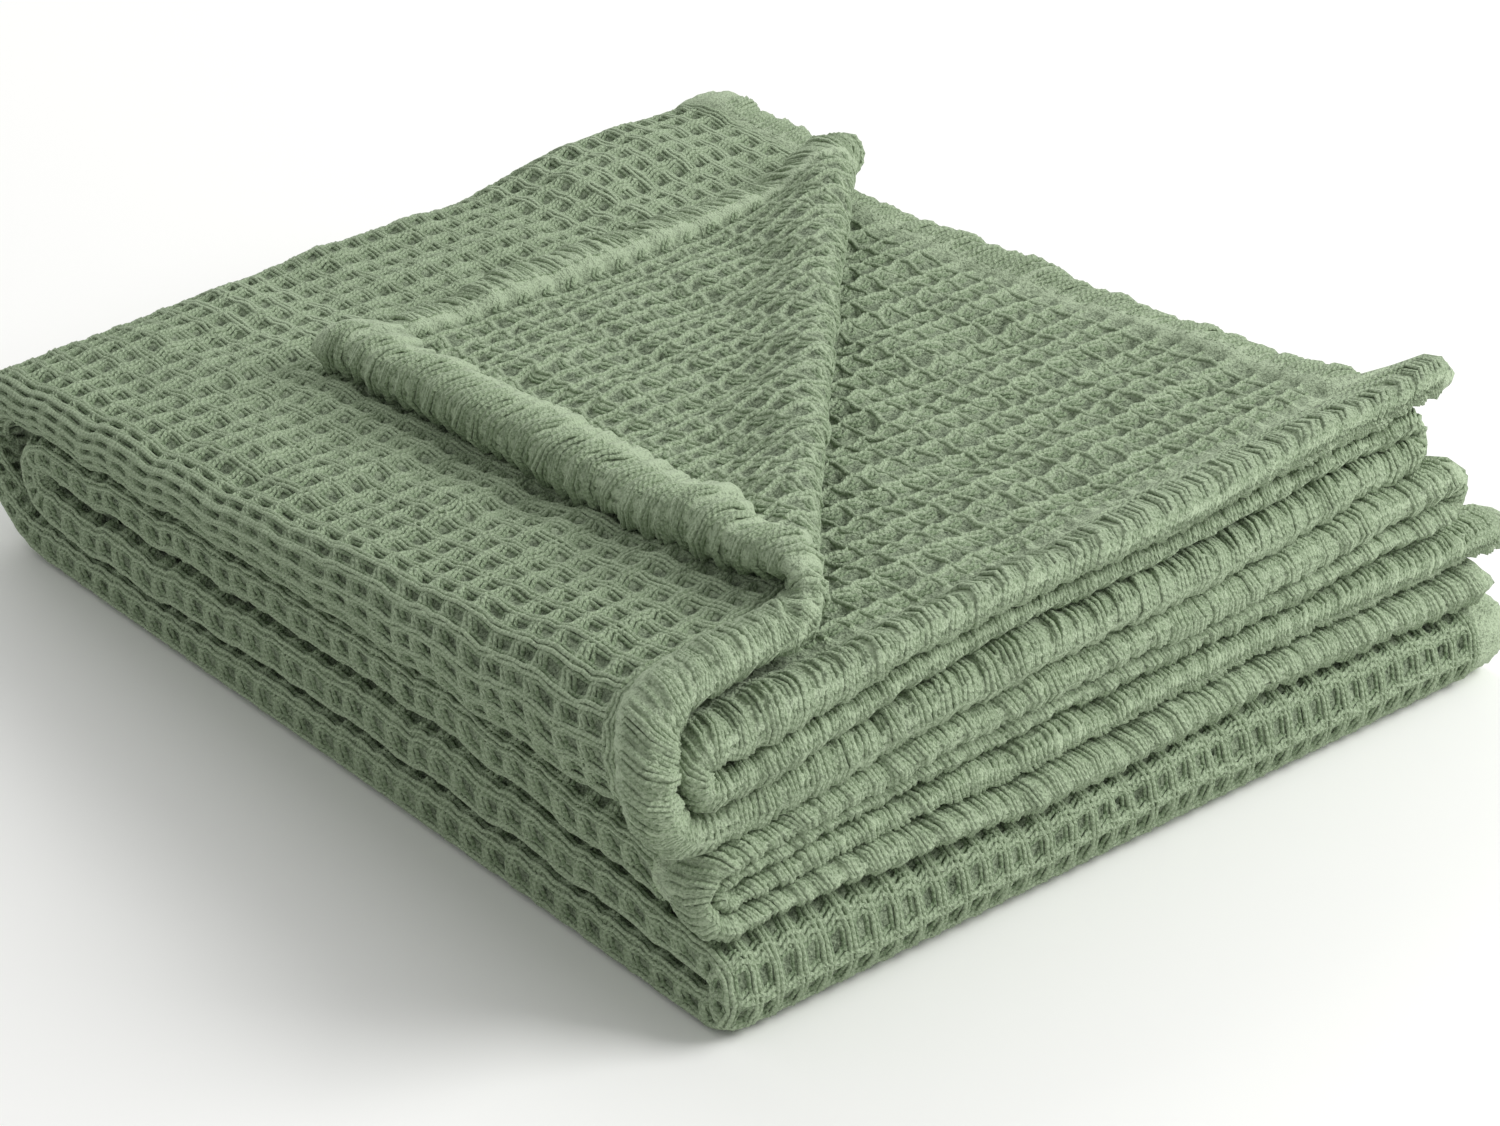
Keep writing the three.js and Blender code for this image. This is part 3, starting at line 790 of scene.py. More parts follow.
def weave_relief(across, along, side):
    """Height of the weave over the cloth's plain face, how high on its ribs that is, and the hem's share."""
    to_front, to_end, _ = from_edges(across, along)
    hem = 1.0 - soft_step(np.minimum(to_front, to_end), *HEM_FADE)
    outer, outer_rise = outer_relief(across, along)
    inner, inner_rise = inner_relief(across, along)
    ribs, hem_rise = hem_relief(across, along, side)
    # The rise doubles as the tone: painted shade in the pits and hollows of the weave and between the ribs of
    # the hems
    ground_tone, rib_tone = HEM_RIB["painted_shade_tones"]
    relief = lerp(np.where(side == INNER, inner, outer), ribs, hem)
    rise = lerp(np.where(side == INNER, inner_rise, outer_rise), ground_tone + rib_tone * hem_rise, hem)
    return relief, np.clip(rise, 0.0, 1.0), hem


def raised_places(sigma, tau, side, lift, woven):
    """Places over a face or rim of the cloth, raised by its weave and a lift, and what its look needs."""
    centre, way_out, thick, across, along, on_across, on_along = cloth_frame(sigma, tau, side)
    relief, rise, hem = weave_relief(across, along, side)
    in_pockets = INNER_WEAVE["crumple"] * (1.0 - soft_step(rise, INNER_WEAVE["line_top"], 1.0))
    crumple = lerp(np.where(side == INNER, in_pockets, OUTER_WEAVE["crumple"]), HEM_RIB["crumple"], hem)
    height = (np.maximum(relief, -LEAST_FLOOR) + crumple * lift["crumple"]) * woven + lift["raised"]
    to_front, _, on_front = from_edges(across, along)
    over_front = on_along * np.where(along < 1, -1.0, 1.0)[:, None]
    over_end = on_across * np.where(across < 1, -1.0, 1.0)[:, None]
    over_rim = unit(np.where(to_front[:, None] < 1e-6, over_front, over_end))
    from_face = way_out * (thick / 2 + height)[:, None]
    offset = np.where((side == RIM)[:, None], over_rim * height[:, None], from_face)
    # The rise goes on as the colour's tone, which paints shade into the low places of the weave
    told = {"rise": lerp(PLAIN_RISE, rise, woven), "hem": hem, "plain": 1.0 - woven,
            "across": across, "along": along,
            "hem_run": np.where(on_front, across * CELL[0], along * CELL[1])}
    return centre + offset - MIDDLE, told


def skin_places(places):
    sigma, tau, side, woven = places.T
    crumple = np.random.default_rng(SEEDS["crumple"]).uniform(-1, 1, len(sigma))
    points, told = raised_places(sigma, tau, side, {"crumple": crumple, "raised": 0.0}, woven)
    points[:, 2] = np.maximum(points[:, 2], 0.0)
    return points, told


# Strands that lie side by side on the ribs of the outer face
STRAND_SIDES = 4
STRAND_ROWS = {
    # places beside the rib's middle, spread at the crossings and radius in millimetres, slant in cells,
    # steps a cell
    "cord": {"beside": (-2.05, -0.7, 0.7, 2.05), "spread": 0.35, "slant": 0.03, "radius": 0.88, "steps": 3},
    "rung": {"beside": (-2.4, -0.8, 0.8, 2.4), "spread": 0.45, "slant": 0.07, "radius": 1.0, "steps": 3},
}
STRAND_LIFT = {"float": 0.30, "over": 0.40, "under": -0.20, "outside": -0.30}
STRAND_UNEVEN = {"lift": 0.15, "thick": 0.14, "aside": 0.22}
OUTSIDE_STRAND = 1.5
CROSSING_ROUND = 1.5

# Net of single lines on the inner face, and arcs like scales inside its cells
NET = {"line": 0.95, "line_lift": -0.2, "line_stray": 0.02, "over": 0.15, "steps": 4,
       "arc": 0.75, "arc_lift": 0.05, "arc_stray": 0.03, "arc_steps": 5, "arcs": (0.06, 0.22),
       "bow": 0.16, "reach": 0.33, "dip": 0.6}

# Strands round the hems: cells in from the rim of each step over them, and how they group, stray and sink
HEM_STRANDS = {"in_cell": 7, "steps": (1.4, 0.95, 0.5, 0.18), "lift": 0.2, "sunk": -0.7, "radius": 0.9,
               "uneven": 0.32, "stray": 0.06, "stray_slant": 0.4, "grouped": 0.28, "free_grouped": 0.75,
               "off_end": 0.45}
HEMS = (
    # which hem, whether at its path's start, first and last cell of it that show, and its mesh
    ("front", True, 1, 144, "front_hem"),
    ("front", False, 1, 144, "second_front_hem"),
    ("end", True, 2, 31, "end_hem"),
    ("end", False, 2, 31, "end_hem"),
)
HIDDEN_TURN = 0.3


def woven_cells(side):
    """Cells of one face that show and aren't in a hem, as a grid of flags with the piece each one is in."""
    flags = np.zeros((int(CELLS_ACROSS[-1]), int(CELLS_ALONG[-1])), bool)
    owner = np.full(flags.shape, "", dtype=object)
    for i, row_i in enumerate(ACROSS_ROWS):
        for j, row_j in enumerate(ALONG_ROWS):
            if row_i["hem"] or row_j["hem"] or not block_shows(side, row_i, row_j):
                continue
            first_i = round(float(np.interp(row_i["start"], np.arange(len(ACROSS) + 1), CELLS_ACROSS)))
            first_j = round(float(np.interp(row_j["start"], np.arange(len(ALONG) + 1), CELLS_ALONG)))
            cut = np.s_[first_i:first_i + row_i["cells"], first_j:first_j + row_j["cells"]]
            flags[cut] = True
            owner[cut] = piece_of(i, j)
    return flags, owner


def runs_of(flags):
    """Starts and stops of the stretches of a row that are set."""
    edges = np.flatnonzero(np.diff(np.concatenate([[0], flags.astype(int), [0]])))
    return list(zip(edges[::2], edges[1::2]))


def line_strands(flags, owner, way):
    """Strands of the cords or the rungs: (piece, cells, lift, radius, face) for each one."""
    grid, names = (flags, owner) if way == "cord" else (flags.T, owner.T)
    style = STRAND_ROWS[way]
    random = np.random.default_rng(SEEDS[way])
    pitch = CELL[0] if way == "cord" else CELL[1]
    strands = []
    for k in range(1, grid.shape[0]):
        for start, stop in runs_of(grid[k]):
            onward = np.linspace(start, stop, (stop - start) * style["steps"] + 1)
            crossing = ((1.0 + np.cos(2 * np.pi * onward)) / 2) ** CROSSING_ROUND
            turn_about = (np.round(onward) + k) % 2 == (0 if way == "cord" else 1)
            line = np.full(onward.shape, float(k))
            bent = opened(line, onward) if way == "cord" else opened(onward, line)
            over = lerp(turn_about.astype(float), 1.0 if way == "cord" else 0.0, bent)
            lift = lerp(STRAND_LIFT["float"], lerp(STRAND_LIFT["under"], STRAND_LIFT["over"], over), crossing)
            for beside in style["beside"]:
                astray = STRAND_UNEVEN["aside"] * random.uniform(-1, 1, len(onward)) + beside
                aside = line + (astray + np.sign(beside) * style["spread"] * crossing) / pitch
                aside = aside + style["slant"] * np.sin(2 * np.pi * onward)
                cells = np.stack([aside, onward] if way == "cord" else [onward, aside], -1)
                lower = STRAND_LIFT["outside"] * (abs(beside) > OUTSIDE_STRAND)
                face = np.full(len(cells), OUTER)
                strands.append((names[k, start], cells, lift + lower, style["radius"], face))
    return strands


def net_strands(flags, owner):
    """Strands of the inner face: its net and the arcs inside the cells, as line_strands gives them."""
    random = np.random.default_rng(SEEDS["net"])
    strands = []
    for way in ("cord", "rung"):
        grid, names = (flags, owner) if way == "cord" else (flags.T, owner.T)
        for k in range(grid.shape[0]):
            for start, stop in runs_of(grid[k]):
                onward = np.linspace(start, stop, (stop - start) * NET["steps"] + 1)
                aside = k + 0.5 + NET["line_stray"] * random.uniform(-1, 1, len(onward))
                over = np.sin(np.pi * (onward + 0.5 * k)) * (1 if way == "cord" else -1)
                cells = np.stack([aside, onward] if way == "cord" else [onward, aside], -1)
                lift = NET["line_lift"] + NET["over"] * over
                strands.append((names[k, start], cells, lift, NET["line"], np.full(len(cells), INNER)))
    sweep = np.linspace(-1.0, 1.0, NET["arc_steps"])
    for i, j in np.argwhere(flags):
        for back in NET["arcs"]:
            astray = NET["arc_stray"] * random.uniform(-1, 1, len(sweep))
            bowed = back + NET["bow"] * sweep ** 2 + astray
            cells = np.stack([i + NET["reach"] * sweep, j + bowed], -1)
            lift = NET["arc_lift"] - NET["dip"] * sweep ** 4
            strands.append((owner[i, j], cells, lift, NET["arc"], np.full(len(cells), INNER)))
    return strands


def hem_strands():
    """Strands that wind round the hems in groups, from the outer face over the rim to the inner one."""
    round_it = np.array(HEM_STRANDS["steps"])
    to_edge = np.concatenate([round_it, [0.0], round_it[::-1]])
    face = np.repeat([OUTER, RIM, INNER], [len(round_it), 1, len(round_it)])
    strands = []
    random = np.random.default_rng(SEEDS["hems"])
    for way, at_start, first, last, name in HEMS:
        far, long = CELLS_ACROSS[-1], CELLS_ALONG[-1]
        if way == "front":
            far, long = long, far
        edge = to_edge if at_start else far - to_edge
        for k in range(first, last):
            for strand in range(HEM_STRANDS["in_cell"]):
                stray = random.uniform(-1, 1, 2)
                leaning = hem_slant(to_edge) * (1.0 + HEM_STRANDS["stray_slant"] * stray[0])
                aside = (strand + 0.5) / HEM_STRANDS["in_cell"] - 0.5
                count = k + aside + HEM_STRANDS["stray"] * stray[1] - leaning * face
                count = np.clip(count, HEM_STRANDS["off_end"], long - HEM_STRANDS["off_end"])
                cells = np.stack([count, edge] if way == "front" else [edge, count], -1)
                on_flap = way == "front" and at_start and k < FREE_HEM[1]
                grouped = HEM_STRANDS["free_grouped" if on_flap else "grouped"]
                lift = HEM_STRANDS["lift"] + grouped * math.cos(2 * math.pi * aside)
                lift = lift + HEM_STRANDS["uneven"] * random.uniform(-1, 1, len(face))
                lift[[0, -1]] = HEM_STRANDS["sunk"]
                strands.append((name, cells, lift, HEM_STRANDS["radius"], face))
    return strands


def strand_pieces(material):
    """All strands as thin closed tubes on the weave, one mesh for each stretch of cloth."""
    flags, owner = woven_cells(OUTER)
    # The near turn takes fewer cells in the lower bundles, so those past its half there have no strands
    turn = slice(int(CELLS_ACROSS[NEAR_TURN]), int(CELLS_ACROSS[NEAR_TURN + 1]))
    off_middle = np.arange(turn.start, turn.stop)[:, None] + 0.5 - (turn.start + turn.stop) / 2
    half = turn_cells(np.arange(flags.shape[1]) + 0.5) / 2 + HIDDEN_TURN
    flags[turn] &= (off_middle <= half) & ((off_middle >= -half) | flags[turn.start - 1])
    groups = {}
    for way in STRAND_ROWS:
        for row in line_strands(flags, owner, way):
            groups.setdefault(f"{row[0]}_{way}s", []).append(row[1:])
    for row in net_strands(*woven_cells(INNER)):
        groups.setdefault(f"{row[0]}_net", []).append(row[1:])
    for row in hem_strands():
        groups.setdefault(f"{row[0]}_strands", []).append(row[1:])
    tree = laid_yarn_tree()
    return [laid_yarn(name, rows, tree, material) for name, rows in groups.items()]


def laid_yarn(name, rows, tree, material):
    """Lays strands on the cloth along their paths in cells and gives them their thickness."""
    cells = np.concatenate([row[0] for row in rows])
    lift = np.concatenate([row[1] for row in rows])
    radius = np.concatenate([np.full(len(row[0]), row[2]) for row in rows])
    face = np.concatenate([row[3] for row in rows])
    uneven = np.random.default_rng(SEEDS["yarn"]).uniform(-1, 1, (len(cells), 2))
    sigma, tau = paths_at(cells[:, 0], cells[:, 1])
    raised = lift + STRAND_UNEVEN["lift"] * uneven[:, 0]
    points, told = raised_places(sigma, tau, face, {"crumple": 0.0, "raised": raised}, 1.0)
    radius = radius * (1.0 + STRAND_UNEVEN["thick"] * uneven[:, 1])
    points[:, 2] = np.maximum(points[:, 2], radius)
    ends = np.cumsum([len(row[0]) for row in rows])
    first = np.arange(len(cells) - 1)
    edges = np.stack([first, first + 1], -1)[~np.isin(first, ends - 1)]
    paths = bpy.data.meshes.new(name + "_paths")
    paths.from_pydata((points * MM).tolist(), edges.tolist(), [])
    # The weave's rise under a strand sets its tone, painting shade where the strand lies low
    for attribute, values in (("thick", radius * MM), ("rise", told["rise"])):
        layer = paths.attributes.new(attribute, "FLOAT", "POINT")
        layer.data.foreach_set("value", values.astype(np.float32))
    lines = bpy.data.objects.new(name + "_lines", paths)
    bpy.context.scene.collection.objects.link(lines)
    modifier = lines.modifiers.new("laid_yarn", "NODES")
    modifier.node_group = tree
    sockets = {item.name: item.identifier for item in tree.interface.items_tree}
    modifier[sockets["Sides"]] = STRAND_SIDES
    modifier[sockets["Yarn"]] = material
    seen = lines.evaluated_get(bpy.context.evaluated_depsgraph_get())
    mesh = bpy.data.meshes.new_from_object(seen)
    mesh.name = name
    bpy.data.objects.remove(lines)
    piece = bpy.data.objects.new(name, mesh)
    bpy.context.scene.collection.objects.link(piece)
    return piece


def laid_yarn_tree():
    """Tubes along paths. Keeps each point's run along its strand and its way round it, for the twist."""
    tree = bpy.data.node_groups.new("laid_yarn", "GeometryNodeTree")
    for name, kind in (("Paths", "Geometry"), ("Sides", "Int"), ("Yarn", "Material")):
        tree.interface.new_socket(name, in_out="INPUT", socket_type="NodeSocket" + kind)
    tree.interface.new_socket("Strands", in_out="OUTPUT", socket_type="NodeSocketGeometry")
    given = add_node(tree, "NodeGroupInput")
    line = add_node(tree, "GeometryNodeMeshToCurve", {"Mesh": given.outputs["Paths"]})
    thick = add_node(tree, "GeometryNodeInputNamedAttribute", {"Name": "thick"}, data_type="FLOAT")
    run = add_node(tree, "GeometryNodeSplineParameter")
    told = add_node(tree, "GeometryNodeStoreNamedAttribute", {
        "Geometry": line.outputs["Curve"],
        "Name": "run",
        "Value": run.outputs["Length"],
    }, data_type="FLOAT", domain="POINT")
    ring = add_node(tree, "GeometryNodeCurvePrimitiveCircle", {
        "Resolution": given.outputs["Sides"],
        "Radius": 1.0,
    })
    way = add_node(tree, "GeometryNodeInputPosition")
    rounded = add_node(tree, "GeometryNodeStoreNamedAttribute", {
        "Geometry": ring.outputs["Curve"],
        "Name": "way_round",
        "Value": way.outputs["Position"],
    }, data_type="FLOAT_VECTOR", domain="POINT")
    tube = add_node(tree, "GeometryNodeCurveToMesh", {
        "Curve": told.outputs["Geometry"],
        "Profile Curve": rounded.outputs["Geometry"],
        "Scale": thick.outputs["Attribute"],
        "Fill Caps": True,
    })
    smooth = add_node(tree, "GeometryNodeSetShadeSmooth", {"Geometry": tube.outputs["Mesh"]})
    real = add_node(tree, "GeometryNodeRealizeInstances", {"Geometry": smooth.outputs["Geometry"]})
    yarn = add_node(tree, "GeometryNodeSetMaterial", {
        "Geometry": real.outputs["Geometry"],
        "Material": given.outputs["Yarn"],
    })
    add_node(tree, "NodeGroupOutput", {"Strands": yarn.outputs["Geometry"]})
    return tree


def smooth_normals(points, quads, triangles):
    """Way out at each corner, from the faces round it by their area."""
    normals = np.zeros_like(points)
    for faces in (quads, triangles):
        corner = points[faces]
        if faces.shape[1] == 4:
            area = np.cross(corner[:, 2] - corner[:, 0], corner[:, 3] - corner[:, 1])
        else:
            area = np.cross(corner[:, 1] - corner[:, 0], corner[:, 2] - corner[:, 0])
        for k in range(faces.shape[1]):
            np.add.at(normals, faces[:, k], area)
    return unit(normals)


def mesh_piece(name, points, normals, told, quads, triangles, material):
    """One mesh of the cloth from the corners that its faces use."""
    used, flat = np.unique(np.concatenate([quads.ravel(), triangles.ravel()]), return_inverse=True)
    mesh = bpy.data.meshes.new(name)
    mesh.vertices.add(len(used))
    mesh.vertices.foreach_set("co", (points[used] * MM).astype(np.float32).ravel())
    sizes = np.concatenate([np.full(len(quads), 4), np.full(len(triangles), 3)])
    mesh.loops.add(len(flat))
    mesh.loops.foreach_set("vertex_index", flat.astype(np.int32))
    mesh.polygons.add(len(sizes))
    mesh.polygons.foreach_set("loop_start", (np.cumsum(sizes) - sizes).astype(np.int32))
    mesh.polygons.foreach_set("use_smooth", np.ones(len(sizes), bool))
    mesh.update(calc_edges=True)
    for attribute, values in told.items():
        layer = mesh.attributes.new(attribute, "FLOAT", "POINT")
        layer.data.foreach_set("value", values[used].astype(np.float32))
    mesh.validate()
    mesh.normals_split_custom_set_from_vertices(normals[used].astype(np.float32).tolist())
    mesh.materials.append(material)
    piece = bpy.data.objects.new(name, mesh)
    bpy.context.scene.collection.objects.link(piece)
    return piece


def flipped(faces, wrong):
    """Faces with the corners of the wrong ones in the other order."""
    return np.where(wrong[:, None], faces[:, ::-1], faces)


def turned_outwards(faces, points, outward):
    """Faces with their corners in the order that makes them point a given way."""
    corner = points[faces]
    area = np.cross(corner[:, 1] - corner[:, 0], corner[:, 2] - corner[:, 0])
    return flipped(faces, (area * outward).sum(1) < 0)


def facing(faces, places, side):
    """Faces of one side of the cloth, with their corners in the order that makes them point outwards."""
    at = places[faces][:, :, :2]
    first, second = at[:, 1] - at[:, 0], at[:, 2] - at[:, 0]
    turn = first[:, 0] * second[:, 1] - first[:, 1] * second[:, 0]
    return flipped(faces, turn * side > 0)


def make_throw(material):
    """The skin of the cloth in four closed meshes."""
    skin = Skin()
    blocks = {}
    for side in (OUTER, INNER):
        for i in range(skin.count_i):
            for j in range(skin.count_j):
                blocks.setdefault(piece_of(i, j), []).append((side, *skin.block(side, i, j)))
    places = np.concatenate(skin.places)
    points, told = skin_places(places)
    quads, strips = {}, {}
    for key, rows in blocks.items():
        quads[key] = np.concatenate([facing(four, places, side) for side, four, _ in rows])
        strips[key] = np.concatenate([facing(three, places, side) for side, _, three in rows])
    all_quads = np.concatenate(list(quads.values()))
    all_strips = np.concatenate(list(strips.values()))
    normals = smooth_normals(points, all_quads, all_strips)
    caps = cut_faces(skin, points, places)
    pieces = []
    for key in blocks:
        triangles = np.concatenate([strips[key], caps[key]])
        pieces.append(mesh_piece(key, points, normals, told, quads[key], triangles, material))
    return pieces


def cut_faces(skin, points, places):
    """Closes each mesh where the cloth runs on into the next one."""
    caps = {piece_of(i, j): [np.zeros((0, 3), int)] for i in range(skin.count_i) for j in range(skin.count_j)}
    for i in range(skin.count_i):
        for j in range(skin.count_j):
            for way, other in (("across", (i, j - 1)), ("along", (i - 1, j))):
                if min(other) < 0 or piece_of(*other) == piece_of(i, j):
                    continue
                faces = np.array(join_rows(*skin.edge(OUTER, i, j, way), *skin.edge(INNER, i, j, way)))
                same = (faces == np.roll(faces, 1, axis=1)).any(1)
                faces = faces[~same]
                here, there = block_middle(points, places, i, j), block_middle(points, places, *other)
                caps[piece_of(i, j)].append(turned_outwards(faces, points, there - here))
                caps[piece_of(*other)].append(turned_outwards(faces, points, here - there))
    return {key: np.concatenate(rows) for key, rows in caps.items()}


def block_middle(points, places, i, j):
    row_i, row_j = ACROSS_ROWS[i], ALONG_ROWS[j]
    inside = ((places[:, 0] > row_i["start"]) & (places[:, 0] < row_i["stop"])
              & (places[:, 1] > row_j["start"]) & (places[:, 1] < row_j["stop"]))
    return points[inside].mean(0)


def linear(hex_colour):
    """sRGB hex to linear colour with alpha."""
    channels = [int(hex_colour[k:k + 2], 16) / 255 for k in (1, 3, 5)]
    return [c / 12.92 if c <= 0.04045 else ((c + 0.055) / 1.055) ** 2.4 for c in channels] + [1.0]


def add_node(tree, kind, links=None, **settings):
    """Adds a node, sets its settings and links sockets to it."""
    node = tree.nodes.new(kind)
    for name, value in settings.items():
        setattr(node, name, value)
    for name, source in (links or {}).items():
        socket = node.inputs[name]
        if isinstance(source, bpy.types.NodeSocket):
            tree.links.new(source, socket)
        else:
            socket.default_value = source
    return node


# Sizes of the patterns on the cotton: spacing of the strands that wrap the hems, length of one turn of the
# twist, and width of the weave's short floats. Single fibres are too fine to show, so their fuzz is drawn
# about twenty times as coarse as they are.
HEM_STRAND = 1.15
TWIST = 2.0
KNOB_SIZE = 1.5
FUZZ_SIZE = 0.6
HEM_SWAY = 9.0
FAINT_RIBS = {"share": 0.3, "ground": 0.7}

# Woven waffle cotton, washed soft: no gloss and a faint sheen, pale ribs and painted shade darkening its pits
# and hollows
WAFFLE_COTTON = {
    "shades": ((0.50, "#273521"), (1.0, "#adbd9f")),
    "deep": 0.55,
    "base_tone": 0.0,
    "tone": {"wrapped": 0.03, "rise": 0.6, "fuzz": 0.5, "knob": 0.4, "inside": -0.55},
    "height": {"wrapped": 0.07, "fuzz": 1.0, "knob": 2.0, "inside": -5.0},
}
# Two-ply spun cotton yarn on its ribs: pale and fuzzy, with painted shade in the groove between its plies and
# where a strand lies low in the weave
TWISTED_YARN = {
    "shades": ((0.47, "#5e7252"), (1.0, "#b0c0a2")),
    "deep": 0.32,
    "base_tone": 0.15,
    "tone": {"ply": 0.08, "rise": 0.4, "fuzz": 0.6},
    "height": {"ply": 0.5, "fuzz": 1.8},
}


def cotton(name, look, patterns_on):
    """Matt cotton. Its tone, 0 dark to 1 light, and its bump height are weighted sums of its patterns."""
    material = bpy.data.materials.new(name)
    material.use_nodes = True
    tree = material.node_tree
    tree.nodes.clear()
    patterns = patterns_on(tree)
    sums = {"height": 0.0, "tone": look["base_tone"]}
    for kind in sums:
        for pattern, weight in look[kind].items():
            part = add_node(tree, "ShaderNodeMath", {0: patterns[pattern], 1: weight, 2: sums[kind]},
                            operation="MULTIPLY_ADD")
            sums[kind] = part.outputs[0]
    relief = add_node(tree, "ShaderNodeBump", {
        "Strength": 1.0,
        "Distance": look["deep"] * MM,
        "Height": sums["height"],
    })
    ramp = add_node(tree, "ShaderNodeValToRGB", {"Fac": sums["tone"]})
    for element, (position, colour) in zip(ramp.color_ramp.elements, look["shades"]):
        element.position = position
        element.color = linear(colour)
    skin = add_node(tree, "ShaderNodeBsdfPrincipled", {
        "Base Color": ramp.outputs["Color"],
        "Roughness": 0.95,
        "Sheen Weight": 0.15,
        "Sheen Roughness": 0.5,
        "Specular IOR Level": 0.2,
        "Sheen Tint": linear("#dfe8d6"),
        "Normal": relief.outputs["Normal"],
    })
    add_node(tree, "ShaderNodeOutputMaterial", {"Surface": skin.outputs["BSDF"]})
    return material


def fibres(tree):
    """Fuzz of loose fibres and the knobbly short floats of the weave."""
    place = add_node(tree, "ShaderNodeTexCoord")
    noises = [add_node(tree, "ShaderNodeTexNoise", {
        "Vector": place.outputs["Object"],
        "Scale": 1.0 / (size * MM),
        "Detail": 1.0,
        "Roughness": rough,
    }) for size, rough in ((FUZZ_SIZE, 0.6), (KNOB_SIZE, 0.5))]
    return [noise.outputs["Fac"] for noise in noises]


def waffle_patterns(tree):
    """Ground of the weave: knobbly between the ribs, with fine strands wrapped round the hems and a little
    painted shade between those strands. Between the layers, where the skin is plain, its pits are drawn in
    the bump and as painted shade in the tone."""
    told = {name: add_node(tree, "ShaderNodeAttribute", attribute_name=name).outputs["Fac"]
            for name in ("rise", "hem", "hem_run", "plain", "across", "along")}
    fuzz, knob = fibres(tree)
    ribs = []
    for way in ("across", "along"):
        turn = add_node(tree, "ShaderNodeMath", {0: told[way], 1: math.pi}, operation="MULTIPLY").outputs[0]
        wave = add_node(tree, "ShaderNodeMath", {0: turn}, operation="COSINE").outputs[0]
        ribs.append(add_node(tree, "ShaderNodeMath", {0: wave}, operation="ABSOLUTE").outputs[0])
    rib = add_node(tree, "ShaderNodeMath", {0: ribs[0], 1: ribs[1]}, operation="MAXIMUM").outputs[0]
    faint = add_node(tree, "ShaderNodeMath", {0: ribs[1], 1: FAINT_RIBS["share"], 2: FAINT_RIBS["ground"]},
                     operation="MULTIPLY_ADD").outputs[0]
    drawn = add_node(tree, "ShaderNodeMix", {"Factor": told["hem"], "A": rib, "B": faint}).outputs["Result"]
    pit = add_node(tree, "ShaderNodeMath", {0: 1.0, 1: drawn}, operation="SUBTRACT").outputs[0]
    # Painted shade in the pits of the plain skin, fainter on the hems
    inside = add_node(tree, "ShaderNodeMath", {0: pit, 1: told["plain"]}, operation="MULTIPLY").outputs[0]
    along_hem = add_node(tree, "ShaderNodeMath", {0: told["hem_run"], 1: 2 * math.pi / HEM_STRAND},
                         operation="MULTIPLY").outputs[0]
    angle = add_node(tree, "ShaderNodeMath", {0: knob, 1: HEM_SWAY, 2: along_hem},
                     operation="MULTIPLY_ADD").outputs[0]
    strand = add_node(tree, "ShaderNodeMath", {0: angle}, operation="SINE").outputs[0]
    wrapped = add_node(tree, "ShaderNodeMath", {0: strand, 1: told["hem"]}, operation="MULTIPLY").outputs[0]
    return {"wrapped": wrapped, "rise": told["rise"], "fuzz": fuzz, "knob": knob, "inside": inside}


def yarn_patterns(tree):
    """Two plies twisted together: slanting grooves round the strand, in the bump and as painted shade in the
    tone.
    """
    rise = add_node(tree, "ShaderNodeAttribute", attribute_name="rise").outputs["Fac"]
    run = add_node(tree, "ShaderNodeAttribute", attribute_name="run").outputs["Fac"]
    way = add_node(tree, "ShaderNodeAttribute", attribute_name="way_round")
    round_it = add_node(tree, "ShaderNodeSeparateXYZ", {0: way.outputs["Vector"]})
    fuzz, _ = fibres(tree)
    angle = add_node(tree, "ShaderNodeMath", {0: run, 1: 2 * math.pi / (TWIST * MM)},
                     operation="MULTIPLY").outputs[0]
    sine = add_node(tree, "ShaderNodeMath", {0: angle}, operation="SINE").outputs[0]
    cosine = add_node(tree, "ShaderNodeMath", {0: angle}, operation="COSINE").outputs[0]
    first = add_node(tree, "ShaderNodeMath", {0: sine, 1: round_it.outputs["X"]},
                     operation="MULTIPLY").outputs[0]
    ply = add_node(tree, "ShaderNodeMath", {0: cosine, 1: round_it.outputs["Y"], 2: first},
                   operation="MULTIPLY_ADD").outputs[0]
    return {"ply": ply, "rise": rise, "fuzz": fuzz}


# Floor, lights and camera, in metres and watts
FLOOR_HALF = 6.0
WORLD_LIGHT = 0.55
LIT_POINT = Vector((0, 0, 0.05))
LIGHTS = (
    # name, place, size and power
    ("key", (1.0, -1.1, 1.25), 1.0, 28.0),
    ("back", (0.3, 1.3, 1.2), 1.2, 8.0),
)
EYE = Vector((-0.6680, -0.8231, 0.5752))
AIM = Vector((-0.0340, -0.0667, 0.0544))


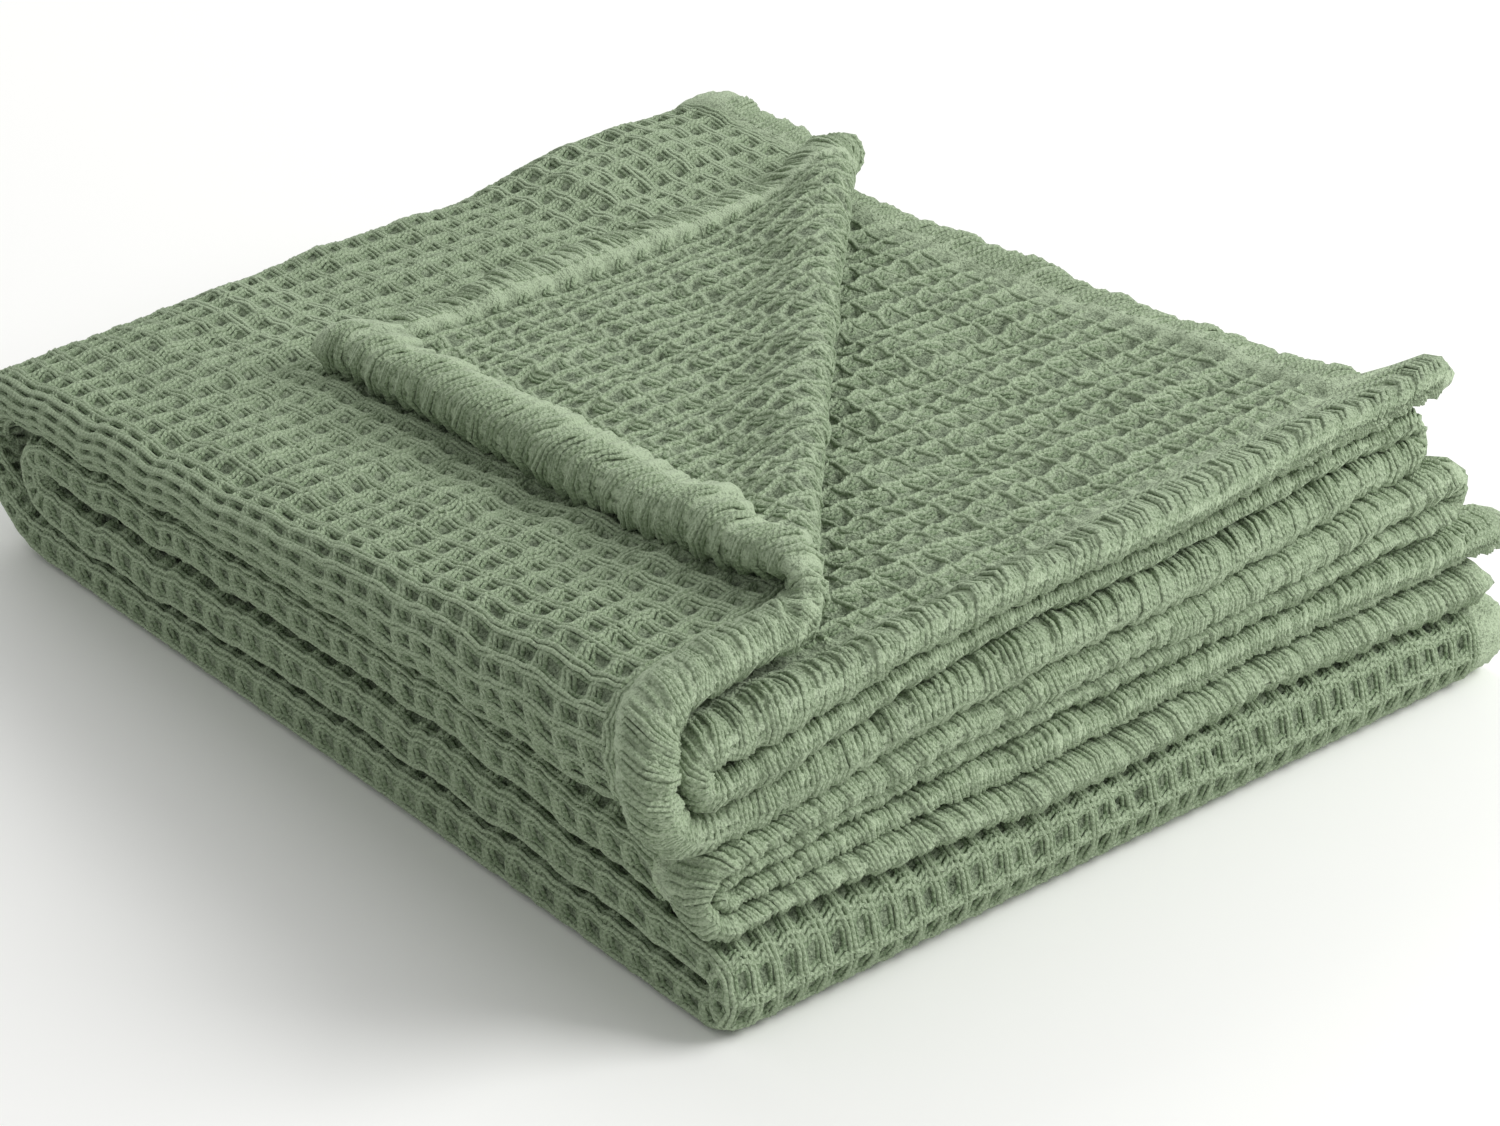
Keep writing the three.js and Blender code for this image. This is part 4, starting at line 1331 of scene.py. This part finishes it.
def plain_stage():
    floor_mesh = bpy.data.meshes.new("pale_floor")
    corners = [(x * FLOOR_HALF, y * FLOOR_HALF, 0) for x, y in ((-1, -1), (1, -1), (1, 1), (-1, 1))]
    floor_mesh.from_pydata(corners, [], [(0, 1, 2, 3)])
    floor = bpy.data.objects.new("pale_floor", floor_mesh)
    bpy.context.scene.collection.objects.link(floor)
    # Painted board: matt and nearly white, so that it only carries the soft shadow
    paint = bpy.data.materials.new("matt_white_board")
    paint.use_nodes = True
    board = paint.node_tree.nodes["Principled BSDF"]
    board.inputs["Base Color"].default_value = linear("#f6f6f4")
    board.inputs["Roughness"].default_value = 0.9
    floor_mesh.materials.append(paint)

    world = bpy.data.worlds.new("studio")
    world.use_nodes = True
    world.node_tree.nodes["Background"].inputs["Color"].default_value = linear("#ffffff")
    world.node_tree.nodes["Background"].inputs["Strength"].default_value = WORLD_LIGHT
    bpy.context.scene.world = world
    for name, place, size, power in LIGHTS:
        lamp = bpy.data.lights.new(name, "AREA")
        lamp.size = size
        lamp.energy = power
        light = bpy.data.objects.new(name, lamp)
        light.location = place
        light.rotation_euler = (LIT_POINT - Vector(place)).to_track_quat("-Z", "Y").to_euler()
        bpy.context.scene.collection.objects.link(light)


def photo_camera():
    lens = bpy.data.cameras.new("studio_camera")
    lens.lens = 85.0
    lens.sensor_width = 36.0
    lens.sensor_fit = "HORIZONTAL"
    camera = bpy.data.objects.new("studio_camera", lens)
    camera.location = EYE
    camera.rotation_euler = (AIM - EYE).to_track_quat("-Z", "Y").to_euler()
    bpy.context.scene.collection.objects.link(camera)
    bpy.context.scene.camera = camera


photo_camera()
plain_stage()
bpy.context.scene.view_settings.view_transform = "Standard"
waffle_cotton = cotton("waffle_cotton", WAFFLE_COTTON, waffle_patterns)
twisted_yarn = cotton("twisted_cotton_yarn", TWISTED_YARN, yarn_patterns)
pieces = make_throw(waffle_cotton) + strand_pieces(twisted_yarn)
for piece in pieces:
    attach(piece, "root")
    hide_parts("folded_throw")
for piece in pieces:
    print(piece.name, sum(len(p.vertices) - 2 for p in piece.data.polygons), "triangles")
